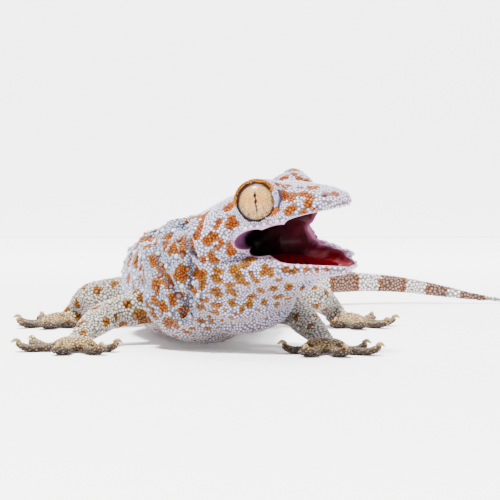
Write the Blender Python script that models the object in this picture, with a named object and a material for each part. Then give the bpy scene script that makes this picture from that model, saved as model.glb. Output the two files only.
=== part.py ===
"""Tokay gecko, life size: head raised and turned to its left, mouth open, belly and four feet on the ground.

Lengths are in millimetres in the tables below and become metres when a mesh is made. The animal faces -Y,
+X is its left, +Z is up, and the origin is on the ground under the belly.
"""

import math

import bmesh
import bpy
import numpy as np
from mathutils import Matrix, Vector
from mathutils.bvhtree import BVHTree

MM = 0.001
GAP = 0.35
VOXEL = 0.5

# The spine from inside the head to the tip of the tail: x, y, z, half width, half height.
SPINE = (
    (1.0, -40.0, 24.5, 12.0, 9.5),
    (0.5, -33.0, 20.0, 13.5, 12.0),
    (0.5, -22.0, 15.2, 15.5, 13.8),
    (-0.5, -8.0, 14.2, 17.8, 14.8),
    (-1.5, 10.0, 14.3, 20.0, 15.4),
    (-0.5, 28.0, 13.7, 17.6, 13.9),
    (1.2, 41.0, 12.6, 13.4, 11.8),
    (3.0, 53.0, 11.0, 10.6, 9.4),
    (5.0, 65.0, 10.0, 8.0, 7.6),
    (10.0, 85.0, 9.0, 6.6, 6.4),
    (18.0, 105.0, 8.3, 5.4, 5.2),
    (31.0, 122.0, 7.8, 4.3, 4.2),
    (48.0, 132.5, 7.3, 3.2, 3.2),
    (62.0, 136.0, 6.3, 2.6, 2.6),
    (75.5, 137.0, 4.2, 2.0, 2.0),
    (85.5, 136.5, 2.5, 1.3, 1.3),
    (97.0, 135.0, 1.0, 0.6, 0.7),
)
BELLY_SQUARENESS = 2.35

# Each limb from inside the body to inside the hand or foot: x, y, z, half width, half height.
LIMBS = {
    "arm_right": (
        (0.0, -23.0, 14.0, 6.0, 6.0),
        (-7.0, -23.0, 11.5, 6.2, 5.6),
        (-14.5, -24.8, 9.4, 4.9, 4.5),
        (-21.5, -27.5, 8.0, 4.0, 3.9),
        (-25.0, -34.0, 6.3, 3.8, 3.5),
        (-27.6, -41.5, 4.0, 3.0, 2.5),
        (-28.8, -45.0, 2.6, 3.0, 1.8),
    ),
    "arm_left": (
        (2.0, -20.0, 14.0, 6.0, 6.0),
        (9.5, -21.0, 12.5, 6.2, 6.0),
        (17.5, -26.0, 10.2, 4.8, 4.6),
        (24.0, -31.0, 8.6, 4.0, 3.9),
        (26.8, -38.5, 6.5, 3.7, 3.5),
        (29.6, -46.0, 4.0, 3.0, 2.5),
        (30.6, -49.5, 2.6, 3.0, 1.8),
    ),
    "leg_right": (
        (1.0, 48.0, 11.0, 6.5, 6.0),
        (-7.0, 45.5, 10.6, 6.8, 6.2),
        (-17.5, 38.0, 9.6, 6.0, 5.5),
        (-26.6, 31.5, 9.2, 4.6, 4.6),
        (-31.8, 35.0, 8.0, 4.4, 4.2),
        (-36.0, 40.5, 4.8, 3.3, 2.9),
        (-38.5, 40.0, 2.7, 3.3, 2.0),
    ),
    "leg_left": (
        (5.0, 48.0, 11.0, 6.5, 6.0),
        (12.0, 45.0, 10.6, 6.8, 6.2),
        (21.5, 35.5, 9.6, 6.0, 5.5),
        (30.0, 27.0, 8.7, 4.0, 4.0),
        (32.8, 33.0, 7.7, 4.0, 3.8),
        (36.2, 39.0, 4.8, 3.3, 2.9),
        (38.5, 38.5, 2.7, 3.3, 2.0),
    ),
}

# Each hand and foot: middle of the palm, its half length and half width, and the tips of the five toes.
PALM_HEIGHT = 2.0
FEET = {
    "hand_right": {
        "palm": (-29.5, -46.5), "size": (5.2, 4.4),
        "toes": ((-40.8, -37.2), (-43.6, -46.7), (-32.3, -58.5), (-22.2, -57.5), (-19.0, -48.0)),
    },
    "hand_left": {
        "palm": (31.0, -51.5), "size": (5.2, 4.4),
        "toes": ((20.8, -52.0), (26.0, -63.4), (35.4, -64.0), (41.0, -49.5), (43.8, -58.0)),
    },
    "foot_right": {
        "palm": (-40.0, 38.0), "size": (5.6, 4.8),
        "toes": ((-36.6, 26.5), (-43.5, 21.5), (-51.0, 27.0), (-52.6, 37.5), (-47.0, 49.0)),
    },
    "foot_left": {
        "palm": (40.0, 37.0), "size": (5.6, 4.8),
        "toes": ((36.8, 25.5), (43.5, 20.5), (51.0, 26.0), (54.0, 36.5), (48.0, 48.5)),
    },
}
# A toe from root to tip: share of its length, height, half width, half thickness. The tip rolls upward.
TOE_PROFILE = (
    (-0.10, 2.3, 1.45, 1.45),
    (0.15, 1.8, 1.45, 1.35),
    (0.40, 1.1, 1.60, 1.25),
    (0.60, 0.8, 2.20, 1.05),
    (0.78, 0.9, 2.70, 1.00),
    (0.92, 1.5, 2.60, 0.95),
    (1.00, 2.5, 1.60, 0.80),
)
CLAW_LENGTH, CLAW_RADIUS, CLAW_HEIGHT = 1.3, 0.50, 2.7

# The head's frame: u runs to the snout, v to the left, w up, from a point inside the back of the skull.
HEAD_ORIGIN = (2.4, -39.6, 26.5)
HEAD_YAW, HEAD_PITCH, HEAD_ROLL = 28.0, 16.4, 7.0
# The skull and upper jaw: u, half width, top, height of the widest line, bottom.
SKULL = (
    (-7.0, 10.5, 4.0, -3.0, -9.5),
    (-1.0, 13.6, 6.3, -2.8, -9.8),
    (5.0, 15.6, 7.8, -2.6, -9.0),
    (11.0, 15.4, 8.8, -1.8, -7.0),
    (16.0, 14.4, 9.2, -0.8, -6.4),
    (20.5, 13.3, 9.0, -0.4, -6.2),
    (24.0, 12.3, 8.4, -0.1, -5.6),
    (25.6, 11.7, 8.0, 0.0, -4.4),
    (26.8, 11.3, 7.7, 0.0, -2.4),
    (28.4, 10.7, 7.3, 0.0, -1.8),
    (33.0, 8.9, 5.5, 0.0, -1.8),
    (37.0, 6.8, 3.1, -0.2, -1.9),
    (38.8, 4.4, 1.2, -0.4, -1.8),
    (39.7, 1.5, 0.0, -0.6, -1.3),
)
# The lower jaw in its own frame: s runs from the hinge to the chin. s, half width, top, widest, bottom.
JAW_HINGE = (5.0, 0.0, -3.6)
GAPE = 21.0
JAW = (
    (-6.0, 11.0, 2.0, -3.0, -9.0),
    (0.0, 14.4, 2.5, -2.6, -9.5),
    (6.0, 15.0, 1.6, -2.2, -9.5),
    (12.0, 14.0, 2.6, -1.8, -8.0),
    (16.0, 12.9, 2.6, -1.2, -6.8),
    (19.0, 12.2, 1.5, -0.6, -5.7),
    (24.0, 10.4, 1.0, -0.4, -4.4),
    (29.0, 8.0, 0.6, -0.5, -3.4),
    (32.1, 5.2, 0.0, -0.8, -2.6),
    (33.6, 1.9, -0.5, -1.0, -1.6),
)
# Each eyeball: its middle, its radius, and the way it looks, for the right side.
EYE = (21.8, -10.5, 5.2)
EYE_RADII = (4.9, 4.9, 3.5)
EYE_LOOKS = (0.36, -0.93, 0.05)
BROW, BROW_RADII = (21.8, -7.6, 4.8), (7.0, 5.2, 5.6)
LID_RADIUS, LID_THICKNESS, LID_OUT = 5.0, 0.9, 0.9
# The ear opening and nostril of the right side, and how far each reaches in.
EAR, EAR_RADII, EAR_TILT = (4.2, -15.6, -1.4), (0.8, 3.0, 2.0), -21.0
NOSTRIL, NOSTRIL_RADII = (37.0, -5.4, 2.0), (0.9, 0.9, 0.7)
# The skin between the jaws on the left, and the raised left edge of the lower jaw: middles and radii.
WEB, WEB_RADII = (17.5, 11.3, -6.5), (6.2, 1.6, 5.5)
RIM = (
    ((19.5, 11.0, 1.4), (3.6, 1.4, 1.8)),
    ((23.0, 10.0, 1.0), (3.6, 1.3, 1.6)),
    ((26.8, 8.2, 0.6), (3.6, 1.3, 1.4)),
)
# The hollow of the mouth: the roof in the head's frame and the floor in the jaw's.
PALATE = (
    (9.0, 7.0, -2.0, -5.0, -8.0),
    (14.0, 8.6, 0.2, -3.4, -7.0),
    (20.0, 9.0, 1.4, -2.8, -7.0),
    (24.0, 9.8, 1.6, -2.2, -6.0),
    (28.0, 9.0, 1.3, -2.0, -4.0),
    (33.0, 6.8, 0.9, -2.0, -3.2),
    (37.2, 3.9, 0.0, -1.9, -3.0),
    (38.4, 1.6, -0.8, -1.9, -2.9),
)
JAW_FLOOR = (
    (3.0, 6.0, 1.0, -1.0, -3.0),
    (8.0, 8.4, 3.4, 0.0, -3.0),
    (14.0, 9.0, 3.6, 0.0, -2.9),
    (20.0, 10.2, 3.0, 0.6, -2.7),
    (26.0, 8.0, 2.4, 0.8, -2.3),
    (30.5, 5.0, 2.0, 0.6, -1.9),
    (32.8, 2.2, 1.4, 0.2, -1.4),
)
# The right corner of the mouth, which the turn of the head draws further back than the left.
CORNER = (
    ((18.4, -11.8, -2.9), (4.4, 6.0, 2.5)),
    ((23.9, -11.8, -4.75), (6.8, 6.0, 3.55)),
)
# The hollow beside the web, which leaves it a wall.
POUCH, POUCH_RADII = (21.0, 7.2, -6.6), (6.8, 3.5, 5.2)
TONGUE = (
    (7.0, 2.0, -1.6, -2.0, -2.3),
    (9.0, 4.6, -0.7, -1.6, -2.5),
    (14.0, 6.6, 0.1, -1.2, -2.4),
    (20.0, 6.0, 0.0, -1.2, -2.2),
    (25.0, 4.6, -0.3, -1.1, -1.8),
    (28.0, 2.6, -0.6, -1.1, -1.6),
    (29.0, 0.8, -0.9, -1.1, -1.3),
)
# The full throat that hangs between the jaw and the breast: x, y, z and half sizes.
THROAT = (
    ((4.5, -42.5, 17.5), (13.5, 11.8, 10.5)),
    ((1.5, -36.5, 13.0), (15.0, 12.5, 12.0)),
    ((11.0, -42.0, 13.7), (13.3, 10.5, 10.0)),
    ((16.5, -46.8, 18.4), (13.0, 8.8, 6.6)),
)
# The nape that carries the skull's back down to the shoulders.
NAPE = (((-3.5, -33.0, 22.5), (10.5, 11.0, 8.2)), ((1.0, -27.0, 20.5), (12.5, 11.0, 8.5)))
# Where the skin is drawn smooth over a join: x, y, z, reach.
FOLDS = ((-1.0, -33.0, 18.0, 22.0), (10.0, -43.0, 14.0, 17.0), (-12.0, -24.0, 11.0, 9.0),
         (14.0, -22.0, 11.0, 9.0), (-13.0, 41.0, 10.0, 11.0), (16.0, 40.0, 10.0, 11.0),
         (4.0, 58.0, 10.0, 12.0), (-21.5, -28.0, 8.0, 6.0), (24.0, -31.5, 8.5, 6.0),
         (-27.5, 32.0, 8.0, 6.5), (31.0, 27.5, 8.0, 6.5))
SMOOTH_PASSES, FOLD_PASSES = 5, 70
# Where small forms keep more of the mesh: x, y, z, reach. The rest is drawn in fewer triangles.
FINE = ((14.0, -48.0, 30.0, 24.0), (-29.5, -47.0, 2.0, 15.0), (31.0, -52.0, 2.0, 15.0),
        (-40.0, 36.0, 2.0, 18.0), (42.0, 35.0, 2.0, 18.0))
FINE_EDGE, FINE_WEIGHT = 8.0, 0.004
BODY_TRIANGLES = 5400

# The cuts that part the body: a point on the cut, the way it faces, and the cutter's half sizes.
CUTS = {
    "neck": ((1.2, -33.5, 16.5), (0.0, -0.75, 0.66), 23.5),
    "waist_front": ((-1.0, -4.0, 15.0), (0.05, 1.0, 0.0), 26.0),
    "waist_back": ((-0.5, 26.0, 14.0), (0.0, 1.0, 0.0), 22.0),
    "vent": ((4.3, 62.0, 10.2), (0.25, 1.0, 0.0), 12.0),
    "tail_1": ((9.6, 84.0, 9.0), (0.3, 1.0, 0.0), 12.0),
    "tail_2": ((24.0, 114.0, 8.0), (0.65, 0.76, 0.0), 9.0),
    "tail_3": ((52.0, 133.8, 7.1), (1.0, 0.2, 0.0), 7.0),
    "shoulder_right": ((-16.6, -25.4, 9.4), (-0.93, -0.2, -0.33), 8.5),
    "shoulder_left": ((18.6, -26.6, 9.8), (0.83, -0.5, -0.25), 8.5),
    "elbow_right": ((-22.2, -28.6, 7.8), (-0.62, -0.75, -0.2), 7.0),
    "elbow_left": ((24.6, -32.0, 8.4), (0.55, -0.8, -0.2), 7.0),
    "wrist_right": ((-27.3, -40.8, 4.2), (-0.25, -0.9, -0.35), 5.0),
    "wrist_left": ((29.3, -45.4, 4.2), (0.25, -0.9, -0.35), 5.0),
    "hip_right": ((-13.4, 41.5, 9.7), (-0.925, 0.38, 0.0), 15.0),
    "hip_left": ((15.9, 41.0, 9.7), (0.98, 0.19, 0.0), 14.0),
    "knee_right": ((-28.3, 32.0, 8.3), (-0.95, 0.1, -0.25), 8.0),
    "knee_left": ((30.6, 31.0, 8.3), (0.99, 0.16, -0.1), 9.0),
    "ankle_right": ((-36.2, 39.8, 4.3), (-0.25, 0.2, -0.95), 6.5),
    "ankle_left": ((36.4, 38.8, 4.3), (0.25, 0.2, -0.95), 6.5),
}
NAPE_CUT = ("cut_nape", (-0.5, 0.0, 2.2), (GAP / 2, 20.0, 11.8))
CHEEK_CUT = ("cut_cheek", (13.4, 0.0, -3.6), (14.1, 20.0, GAP / 2))
THROAT_CUT = ("cut_throat", (16.2, 0.0, -7.0), (19.7, 20.0, GAP / 2))
# Each part of the body and a point inside it; the head's in the head's frame, the lower jaw's in its own.
PARTS = {
    "head": (12.0, 0.0, 5.2),
    "lower_jaw": (10.0, 0.0, -4.4),
    "neck": (1.0, -33.0, 21.0),
    "torso_front": (0.0, -14.0, 14.0),
    "torso_middle": (-1.0, 10.0, 14.0),
    "torso_rear": (1.0, 44.0, 12.0),
    "tail_1": (7.5, 75.0, 9.5),
    "tail_2": (16.0, 100.0, 8.5),
    "tail_3": (38.0, 127.0, 7.6),
    "tail_4": (70.0, 136.8, 5.2),
    "upper_arm_right": (-19.5, -26.6, 8.7),
    "upper_arm_left": (21.5, -29.0, 9.2),
    "forearm_right": (-25.0, -34.0, 6.4),
    "forearm_left": (27.0, -38.5, 6.6),
    "hand_right": (-29.5, -46.5, 1.8),
    "hand_left": (31.0, -51.5, 1.8),
    "thigh_right": (-22.0, 34.8, 9.0),
    "thigh_left": (26.0, 31.0, 9.0),
    "shin_right": (-32.5, 35.5, 7.9),
    "shin_left": (34.0, 33.5, 7.7),
    "foot_right": (-40.0, 38.0, 1.8),
    "foot_left": (40.0, 37.0, 1.8),
}
# The raised scales in rows down the back and tail: from where to where in y the rows run, how far apart they
# stand, and at what turns from the top of the back.
TUBERCLES = (
    (-18.0, 62.0, 6.8, (-66, -44, -22, 0, 22, 44, 66)),
    (67.0, 126.0, 7.2, (-48, -16, 16, 48)),
)
TUBERCLE_RADIUS, TUBERCLE_HEIGHT, TUBERCLE_ROOT, TUBERCLE_SIDES = 1.25, 0.95, 0.9, 5
TUBERCLE_TAPER, TUBERCLE_JITTER, TURN_JITTER, CLEAR_OF_CUT = 0.45, 0.7, 4.0, 1.9
FAR = 0.05
SEED = 7
EYE_SIDES = 24
MOUTH_SIDES, MOUTH_POWER = 20, 2.6
# What each part is made to look like: colour, roughness, and the parts that wear it.
LOOKS = {
    "spotted_skin": ((0.62, 0.50, 0.46), 0.55, ("head", "neck", "torso_front", "torso_middle", "torso_rear")),
    "throat_skin": ((0.72, 0.66, 0.70), 0.5, ("lower_jaw",)),
    "limb_skin": ((0.55, 0.48, 0.36), 0.6, ("upper_arm", "forearm", "hand", "thigh", "shin", "foot")),
    "tail_skin": ((0.52, 0.46, 0.44), 0.6, ("tail",)),
    "iris": ((0.75, 0.62, 0.40), 0.1, ("eye",)),
    "mouth": ((0.45, 0.05, 0.08), 0.2, ("tongue",)),
}
PROBE = Vector((0.31, 0.52, 0.79)).normalized()
TONGUE_SIDES = 16
SIDES, TUBE_SIDES, EAR_SIDES, NOSTRIL_SIDES = 40, 14, 16, 12
GROUND = ((20.0, 40.0, -5.0), (150.0, 150.0, 5.0))
SMOOTH_ANGLE = 35.0


def spline(keys, steps):
    """Rows read from a smooth curve that passes through each row of keys."""
    keys = np.array(keys, float)
    ends = (2 * keys[0] - keys[1], 2 * keys[-1] - keys[-2])
    padded = np.vstack((ends[0], keys, ends[1]))
    rows = []
    for i in range(len(keys) - 1):
        a, b, c, d = padded[i : i + 4]
        for t in np.arange(steps) / steps:
            rows.append(0.5 * (2 * b + (c - a) * t + (2 * a - 5 * b + 4 * c - d) * t**2
                               + (3 * b - a - 3 * c + d) * t**3))
    rows.append(keys[-1])
    return np.array(rows)


def ring(half_width, top, bottom, power, sides):
    """One cross section: sideways and upward distances, with its own height above and below the middle."""
    angle = 2 * math.pi * np.arange(sides) / sides
    across, up = np.cos(angle), np.sin(angle)
    across = half_width * np.sign(across) * np.abs(across) ** (2 / power)
    height = np.where(up > 0, top, bottom)
    return across, height * np.sign(up) * np.abs(up) ** (2 / power)


def skin_rings(name, rings):
    """A closed mesh object through rings of equal count, capped by a fan at each end."""
    sides = len(rings[0])
    points = np.vstack(rings + [rings[0].mean(0)[None], rings[-1].mean(0)[None]]) * MM
    faces = []
    for i in range(len(rings) - 1):
        for j in range(sides):
            k = (j + 1) % sides
            faces.append((i * sides + j, i * sides + k, (i + 1) * sides + k, (i + 1) * sides + j))
    first, last, tail = len(points) - 2, len(points) - 1, (len(rings) - 1) * sides
    for j in range(sides):
        k = (j + 1) % sides
        faces.append((first, k, j))
        faces.append((last, tail + j, tail + k))
    return mesh_object(name, points, faces)


def mesh_object(name, points, faces):
    """A mesh object in the scene, with its faces turned outward."""
    mesh = bpy.data.meshes.new(name)
    mesh.from_pydata([tuple(p) for p in points], [], faces)
    work = bmesh.new()
    work.from_mesh(mesh)
    bmesh.ops.recalc_face_normals(work, faces=work.faces)
    work.to_mesh(mesh)
    work.free()
    obj = bpy.data.objects.new(name, mesh)
    bpy.context.scene.collection.objects.link(obj)
    return obj


def sweep(name, keys, steps=5, power=2.0, sides=SIDES):
    """A tube along x, y, z, half width, half height rows, its sections upright and square to the path."""
    rows = spline(keys, steps)
    along = np.gradient(rows[:, :3], axis=0)
    rings = []
    for row, step in zip(rows, along):
        forward = step / np.linalg.norm(step)
        side = np.cross(forward, (0, 0, 1))
        side = side / np.linalg.norm(side)
        up = np.cross(side, forward)
        across, height = ring(row[3], row[4], row[4], power, sides)
        rings.append(row[:3] + across[:, None] * side + height[:, None] * up)
    return skin_rings(name, rings)


def lengthwise(name, keys, frame, steps=5, power=2.3, sides=SIDES):
    """A tube along the first axis of frame from u, half width, top, widest, bottom rows."""
    rings = []
    for u, half_width, top, widest, bottom in spline(keys, steps):
        across, height = ring(half_width, top - widest, widest - bottom, power, sides)
        local = np.column_stack((np.full(sides, u), across, widest + height))
        rings.append(placed(local, frame))
    return skin_rings(name, rings)


def placed(points, frame):
    """Points in a frame's own axes, as points in the model."""
    matrix = np.array(frame)
    return np.asarray(points) @ matrix[:3, :3].T + matrix[:3, 3]


def ellipsoid(name, centre, radii, frame=Matrix.Identity(4), sides=SIDES):
    """A closed ellipsoid whose axes lie along frame's."""
    work = bmesh.new()
    bmesh.ops.create_uvsphere(work, u_segments=sides, v_segments=sides // 2, radius=1.0)
    local = np.array([v.co for v in work.verts]) * radii + centre
    faces = [[v.index for v in f.verts] for f in work.faces]
    work.free()
    return mesh_object(name, placed(local, frame) * MM, faces)


def head_frame():
    """The head's matrix, from its turn, lift and tilt."""
    yaw, pitch, roll = (math.radians(a) for a in (HEAD_YAW, HEAD_PITCH, HEAD_ROLL))
    turn = Matrix.Rotation(-yaw, 4, "Z") @ Matrix.Rotation(-pitch, 4, "Y") @ Matrix.Rotation(roll, 4, "X")
    return Matrix.Translation(HEAD_ORIGIN) @ turn


def jaw_frame():
    """The lower jaw's matrix: the head's, dropped about the hinge."""
    drop = Matrix.Rotation(math.radians(GAPE), 4, "Y")
    return head_frame() @ Matrix.Translation(JAW_HINGE) @ drop


def toe(name, palm, tip):
    """A toe from the palm out to its rolled-up tip, with the claw above it."""
    palm, tip = np.array(palm), np.array(tip)
    away = tip - palm
    length = np.linalg.norm(away)
    keys = []
    for share, height, half_width, half_thick in TOE_PROFILE:
        spot = palm + away * share
        keys.append((*spot, height, half_width, half_thick))
    sweep(name, keys, steps=4, sides=20)
    claw = ((*tip - away / length * 0.9, CLAW_HEIGHT - 0.3, CLAW_RADIUS, CLAW_RADIUS),
            (*tip + away / length * 0.2, CLAW_HEIGHT + 0.2, CLAW_RADIUS, CLAW_RADIUS),
            (*tip + away / length * CLAW_LENGTH, CLAW_HEIGHT - 0.4, 0.18, 0.18))
    sweep(name + "_claw", claw, steps=3, sides=10)


def foot(name, palm, size, toes):
    """A hand or foot: a low palm and five toes."""
    ellipsoid(name, (*palm, PALM_HEIGHT), (size[0], size[1], PALM_HEIGHT))
    for i, tip in enumerate(toes):
        toe(f"{name}_{i}", palm, tip)


def mirrored(point, side):
    """A head point given for the right side, on the side asked for: -1 is right, 1 is left."""
    return (point[0], -side * point[1], point[2])


def eye_frame(side):
    """A frame at an eyeball's middle whose third axis points where it looks."""
    looks = Vector(mirrored(EYE_LOOKS, side)).normalized()
    turn = looks.to_track_quat("Z", "Y").to_matrix().to_4x4()
    return head_frame() @ Matrix.Translation(mirrored(EYE, side)) @ turn


def torus(name, frame, radius, thickness, out):
    """A ring about frame's third axis."""
    rings = []
    tube = 2 * math.pi * np.arange(TUBE_SIDES) / TUBE_SIDES
    reach, height = radius + thickness * np.cos(tube), out + thickness * np.sin(tube)
    for angle in 2 * math.pi * np.arange(SIDES) / SIDES:
        loop = np.column_stack((reach * math.cos(angle), reach * math.sin(angle), height))
        rings.append(placed(loop, frame))
    faces = []
    for i in range(SIDES):
        for j in range(TUBE_SIDES):
            k, m = (j + 1) % TUBE_SIDES, (i + 1) % SIDES
            faces.append((i * TUBE_SIDES + j, i * TUBE_SIDES + k, m * TUBE_SIDES + k, m * TUBE_SIDES + j))
    return mesh_object(name, np.vstack(rings) * MM, faces)


def joined(name, objects):
    """One mesh object that holds the faces of several, which are removed."""
    points, faces, start = [], [], 0
    for obj in objects:
        points += [tuple(obj.matrix_world @ v.co) for v in obj.data.vertices]
        faces += [[start + i for i in f.vertices] for f in obj.data.polygons]
        start = len(points)
        bpy.data.objects.remove(obj, do_unlink=True)
    mesh = bpy.data.meshes.new(name)
    mesh.from_pydata(points, [], faces)
    obj = bpy.data.objects.new(name, mesh)
    bpy.context.scene.collection.objects.link(obj)
    return obj


def settled(obj):
    """Applies an object's modifiers to its mesh."""
    graph = bpy.context.evaluated_depsgraph_get()
    mesh = bpy.data.meshes.new_from_object(obj.evaluated_get(graph))
    obj.modifiers.clear()
    obj.data = mesh
    return obj


def fused(obj, voxel):
    """Overlapping bodies made one closed skin."""
    mod = obj.modifiers.new("one_skin", "REMESH")
    mod.mode, mod.voxel_size = "VOXEL", voxel * MM
    return settled(obj)


def boolean(obj, tools, operation, solver="EXACT"):
    """Unites obj with the tools or cuts them from it, and removes them."""
    group = bpy.data.collections.new("tools")
    bpy.context.scene.collection.children.link(group)
    for tool in tools:
        group.objects.link(tool)
    mod = obj.modifiers.new("tools", "BOOLEAN")
    mod.operation, mod.operand_type, mod.collection, mod.solver = operation, "COLLECTION", group, solver
    settled(obj)
    for tool in tools:
        bpy.data.objects.remove(tool, do_unlink=True)
    bpy.data.collections.remove(group)
    return obj


def points_of(obj):
    """The object's points, in millimetres."""
    points = np.empty(len(obj.data.vertices) * 3)
    obj.data.vertices.foreach_get("co", points)
    return points.reshape(-1, 3) / MM


def weighted(obj, name, weight):
    """Adds a vertex group that holds the given weights."""
    group = obj.vertex_groups.new(name=name)
    for i in np.nonzero(weight)[0]:
        group.add([int(i)], float(weight[i]), "REPLACE")


def thinned(obj, triangles):
    """The same form in about the given count of triangles, most of them on the head, hands and feet."""
    points = points_of(obj)
    plain = np.ones(len(points))
    for *centre, reach in FINE:
        away = np.linalg.norm(points - centre, axis=1) - reach
        plain = np.minimum(plain, np.clip(away / FINE_EDGE, 0.5, 1))
    weighted(obj, "plain", plain)
    obj.data.transform(Matrix.Scale(1 / MM, 4))
    mod = obj.modifiers.new("fewer", "DECIMATE")
    mod.ratio = triangles / (2 * len(obj.data.polygons))
    mod.vertex_group, mod.vertex_group_factor = "plain", FINE_WEIGHT
    settled(obj)
    obj.data.transform(Matrix.Scale(MM, 4))
    return obj


def smoothed(obj):
    """Draws the skin smooth, most of all over the joins."""
    points = points_of(obj)
    weight = np.zeros(len(points))
    for *centre, reach in FOLDS:
        near = 1 - np.linalg.norm(points - centre, axis=1) / reach
        weight = np.maximum(weight, np.clip(2 * near, 0, 1))
    weighted(obj, "folds", weight)
    for passes, name in ((SMOOTH_PASSES, ""), (FOLD_PASSES, "folds")):
        mod = obj.modifiers.new("smooth", "SMOOTH")
        mod.factor, mod.iterations, mod.vertex_group = 0.5, passes, name
    return settled(obj)


def slab(name, point, facing, half, thickness=GAP):
    """A thin square cutter at a point, square to the way it faces."""
    turn = Vector(facing).to_track_quat("Z", "Y").to_matrix().to_4x4()
    frame = Matrix.Translation(point) @ turn
    return box(name, frame, (half, half, thickness / 2))


def box(name, frame, half):
    """A box of the given half sizes about a frame's origin."""
    work = bmesh.new()
    bmesh.ops.create_cube(work, size=2.0)
    local = np.array([v.co for v in work.verts]) * half
    faces = [[v.index for v in f.verts] for f in work.faces]
    work.free()
    return mesh_object(name, placed(local, frame) * MM, faces)


def cutters():
    """Every thin cutter that parts the body, made anew."""
    tools = [slab("cut_" + name, *plan) for name, plan in CUTS.items()]
    head, jaw = head_frame(), jaw_frame()
    for frame, (name, centre, half) in ((head, NAPE_CUT), (head, CHEEK_CUT), (jaw, THROAT_CUT)):
        tools.append(box(name, frame @ Matrix.Translation(centre), half))
    return tools


def tree_of(obj):
    """The object's surface, ready to be asked what a line crosses."""
    return BVHTree.FromObject(obj, bpy.context.evaluated_depsgraph_get())


def loose_parts(obj):
    """Each closed surface of obj as its own object."""
    work = bmesh.new()
    work.from_mesh(obj.data)
    work.verts.ensure_lookup_table()
    label = np.full(len(work.verts), -1)
    count = 0
    for vert in work.verts:
        if label[vert.index] >= 0:
            continue
        stack = [vert]
        label[vert.index] = count
        while stack:
            for edge in stack.pop().link_edges:
                for other in edge.verts:
                    if label[other.index] < 0:
                        label[other.index] = count
                        stack.append(other)
        count += 1
    points = [tuple(v.co) for v in work.verts]
    faces = [[v.index for v in f.verts] for f in work.faces]
    work.free()
    found = []
    for i in range(count):
        own = np.nonzero(label == i)[0]
        place = {int(v): k for k, v in enumerate(own)}
        kept = [[place[v] for v in f] for f in faces if label[f[0]] == i]
        found.append(mesh_object(f"piece_{i}", [points[v] for v in own], kept))
    bpy.data.objects.remove(obj, do_unlink=True)
    return found


def holds(tree, point):
    """Whether a closed surface holds a point: a line from it then crosses it an odd number of times."""
    crossings = 0
    spot = point
    while spot is not None:
        spot = tree.ray_cast(point, PROBE)[0]
        if spot is not None:
            crossings += 1
            point = spot + PROBE * MM * 0.001
    return crossings % 2 == 1


def parted(body):
    """The body cut into its named parts."""
    pieces = loose_parts(boolean(body, cutters(), "DIFFERENCE", "MANIFOLD"))
    trees = [tree_of(piece) for piece in pieces]
    kept = []
    for name, seed in PARTS.items():
        frame = {"head": head_frame(), "lower_jaw": jaw_frame()}.get(name, Matrix.Identity(4))
        seed = frame @ Vector(seed) * MM
        around = [piece for piece, tree in zip(pieces, trees) if holds(tree, seed)]
        if len(around) != 1 or around[0] in kept:
            raise ValueError(f"no piece of its own for {name}: {[p.name for p in around]}")
        around[0].name = name
        kept += around
    for piece in pieces:
        if piece not in kept:
            bpy.data.objects.remove(piece, do_unlink=True)
    return kept


def openings():
    """The solids that empty the mouth, the eye sockets, the ears and the nostrils."""
    head = head_frame()
    made = [lengthwise("palate", PALATE, head, 3, MOUTH_POWER, MOUTH_SIDES),
            lengthwise("floor", JAW_FLOOR, jaw_frame(), 3, MOUTH_POWER, MOUTH_SIDES),
            ellipsoid("pouch", POUCH, POUCH_RADII, head, MOUTH_SIDES)]
    for i, (centre, radii) in enumerate(CORNER):
        made.append(ellipsoid(f"corner_{i}", centre, radii, head, MOUTH_SIDES))
    for side in (-1, 1):
        ear = head @ Matrix.Translation(mirrored(EAR, side)) @ Matrix.Rotation(math.radians(EAR_TILT), 4, "Y")
        radii = [radius + GAP for radius in EYE_RADII]
        made.append(ellipsoid(f"socket_{side}", (0, 0, 0), radii, eye_frame(side), EYE_SIDES))
        made.append(ellipsoid(f"ear_{side}", (0, 0, 0), EAR_RADII, ear, EAR_SIDES))
        made.append(ellipsoid(f"nostril_{side}", mirrored(NOSTRIL, side), NOSTRIL_RADII, head, NOSTRIL_SIDES))
    return made


def tubercle(spot, normal, size):
    """One blunt raised scale, its root sunk in the skin."""
    turn = normal.to_track_quat("Z", "Y").to_matrix().to_4x4()
    frame = Matrix.Translation(spot) @ turn
    rings = []
    for radius, height in ((TUBERCLE_RADIUS, -TUBERCLE_ROOT), (TUBERCLE_RADIUS, 0.15),
                           (TUBERCLE_RADIUS * TUBERCLE_TAPER, TUBERCLE_HEIGHT)):
        angle = 2 * math.pi * np.arange(TUBERCLE_SIDES) / TUBERCLE_SIDES
        level = np.full(TUBERCLE_SIDES, height)
        loop = np.column_stack((radius * np.cos(angle), radius * np.sin(angle), level))
        rings.append(placed(size * loop, frame))
    return skin_rings("tubercle", rings)


def near_cut(spot):
    """Whether a point lies too near a cut for a raised scale to stand there."""
    for point, facing, half in CUTS.values():
        away = spot - Vector(point)
        if abs(away.dot(Vector(facing).normalized())) < CLEAR_OF_CUT and away.length < half * 1.5:
            return True
    return abs((head_frame().inverted() @ spot).x - NAPE_CUT[1][0]) < CLEAR_OF_CUT


def met_from_outside(trees, middle, out):
    """The part whose skin a line from far out to the spine meets, the place, and the skin's normal."""
    for name, tree in trees.items():
        spot, normal, _, _ = tree.ray_cast(middle + out * FAR, -out)
        if spot is not None and (spot - middle).dot(out) > 0:
            return name, spot / MM, normal
    return None


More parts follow.
